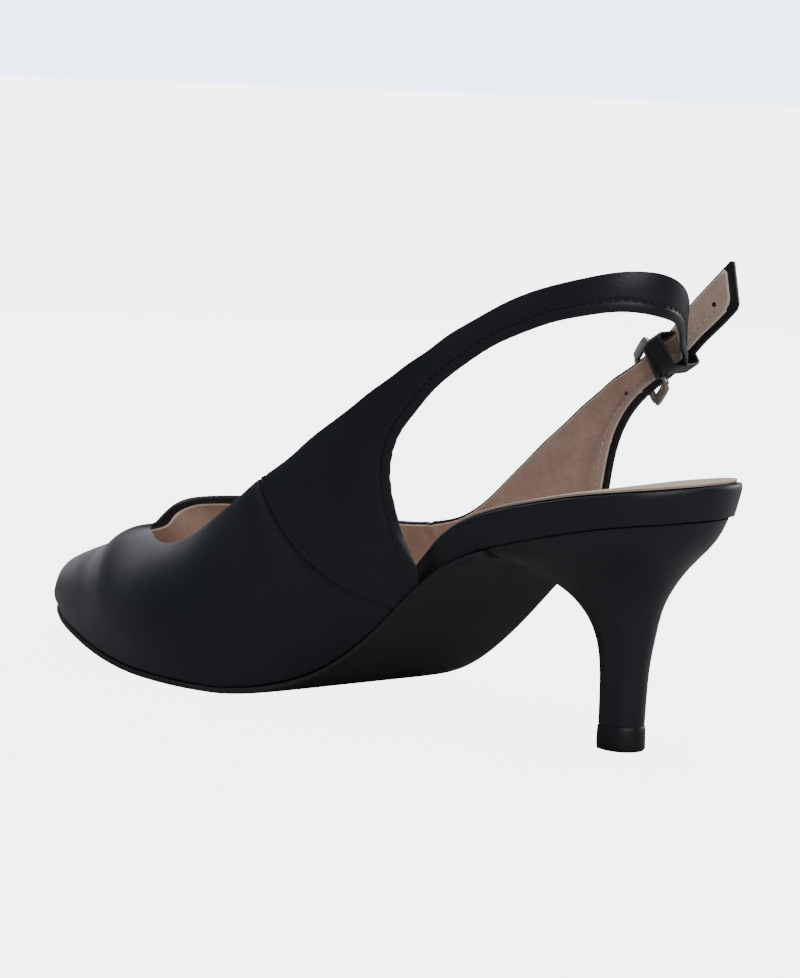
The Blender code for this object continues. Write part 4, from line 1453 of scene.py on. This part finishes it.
@dataclass
class Studio:
    """Floor, lights and camera."""

    azimuth: float = 42.2
    elevation: float = 7.75
    roll: float = 2.25
    focal_pixels: float = 3700.0
    aim_right: float = 0.0066
    aim_up: float = -0.0025
    distance: float = 1.019
    image: tuple[int, int] = (800, 978)
    floor_glow: float = 5.0
    room_light: float = 0.20

    def build(self) -> None:
        """Makes the floor, the lights and the camera."""
        self._floor()
        self._lights()
        self._camera()

    def _floor(self) -> None:
        """A pale floor, level with the ground."""
        mesh = bmesh.new()
        ground = Matrix.Translation((0, 0, -0.0001))
        bmesh.ops.create_circle(mesh, cap_ends=True, segments=96, radius=6.0, matrix=ground)
        data = bpy.data.meshes.new("floor")
        mesh.to_mesh(data)
        mesh.free()
        floor = bpy.data.objects.new("floor", data)
        bpy.context.scene.collection.objects.link(floor)
        material = bpy.data.materials.new("floor_paper")
        material.use_nodes = True
        nodes, link = material.node_tree.nodes, material.node_tree.links.new
        shader = nodes["Principled BSDF"]
        shader.inputs["Base Color"].default_value = (0.34, 0.34, 0.34, 1)
        shader.inputs["Roughness"].default_value = 0.9
        shader.inputs["Specular IOR Level"].default_value = 0.1
        shader.inputs["Emission Color"].default_value = (1, 1, 1, 1)
        link(self._seen_by_camera(nodes, link, 0.0, self.floor_glow), shader.inputs["Emission Strength"])
        data.materials.append(material)

    @staticmethod
    def _seen_by_camera(
        nodes: bpy.types.Nodes, link: Callable, otherwise: float, seen: float
    ) -> bpy.types.NodeSocket:
        """A number that is one value for the camera and another for the light that falls on the shoe.

        Args:
            nodes: The tree's nodes.
            link: The function that links two sockets.
            otherwise: Value for all other light.
            seen: Value for the camera.

        Returns:
            The socket that gives the number.
        """
        path, pick = nodes.new("ShaderNodeLightPath"), nodes.new("ShaderNodeMapRange")
        pick.inputs["To Min"].default_value = otherwise
        pick.inputs["To Max"].default_value = seen
        link(path.outputs["Is Camera Ray"], pick.inputs["Value"])
        return pick.outputs["Result"]

    def _lights(self) -> None:
        """A pale room with four soft lamps."""
        world = bpy.data.worlds.new("pale_room")
        world.use_nodes = True
        nodes, link = world.node_tree.nodes, world.node_tree.links.new
        nodes["Background"].inputs["Color"].default_value = (0.74, 0.86, 1.15, 1)
        strength = self._seen_by_camera(nodes, link, self.room_light, self.floor_glow)
        link(strength, nodes["Background"].inputs["Strength"])
        bpy.context.scene.world = world
        lamps = (
            ("lamp_above", (0.05, -0.05, 1.2), (0.08, 0, 0.05), 0.9, 8.0),
            ("lamp_toe_side", (1.0, -0.56, 0.26), (0.15, 0, 0.03), 1.2, 3.7),
            ("lamp_heel_side", (-0.08, -1.1, 0.42), (0, 0, 0.05), 0.7, 7.0),
            ("lamp_strap", (-0.80, 0.50, 0.60), (0, 0, 0.1), 0.8, 5.4),
        )
        for name, where, aim, size, power in lamps:
            lamp = bpy.data.lights.new(name, "AREA")
            lamp.shape = "DISK"
            lamp.size = size
            lamp.energy = power
            body = bpy.data.objects.new(name, lamp)
            body.location = where
            body.rotation_euler = (Vector(aim) - Vector(where)).to_track_quat("-Z", "Y").to_euler()
            bpy.context.scene.collection.objects.link(body)

    def _camera(self) -> None:
        """A camera at the photograph's viewing angle."""
        t, p, r = (math.radians(a) for a in (self.azimuth, self.elevation, self.roll))
        back = Vector((-math.sin(t) * math.cos(p), math.cos(t) * math.cos(p), math.sin(p)))
        level = Vector((-math.cos(t), -math.sin(t), 0))
        above = back.cross(level)
        right = level * math.cos(r) + above * math.sin(r)
        up = -level * math.sin(r) + above * math.cos(r)
        target = Vector((0.09, 0, 0.06)) + right * self.aim_right + up * self.aim_up
        data = bpy.data.cameras.new("camera")
        data.sensor_width = 36.0
        data.sensor_fit = "AUTO"
        data.lens = self.focal_pixels * data.sensor_width / max(self.image)
        camera = bpy.data.objects.new("camera", data)
        turn = Matrix((right, up, back)).transposed().to_4x4()
        camera.matrix_world = Matrix.Translation(target + back * self.distance) @ turn
        bpy.context.scene.collection.objects.link(camera)
        bpy.context.scene.camera = camera


def main() -> None:
    """Builds the shoe's pieces in order, then the studio."""
    logging.basicConfig(level=logging.INFO, format="%(message)s")
    finishes = Finishes()
    form = UpperForm()
    for assembly in (Upper(finishes, form), Bottom(finishes), HeelUnit(finishes), Buckle(finishes, form)):
        pieces = assembly.build()
        LOG.info("%s: %d pieces", type(assembly).__name__, len(pieces))
    Studio().build()


if __name__ == "__main__":
    main()
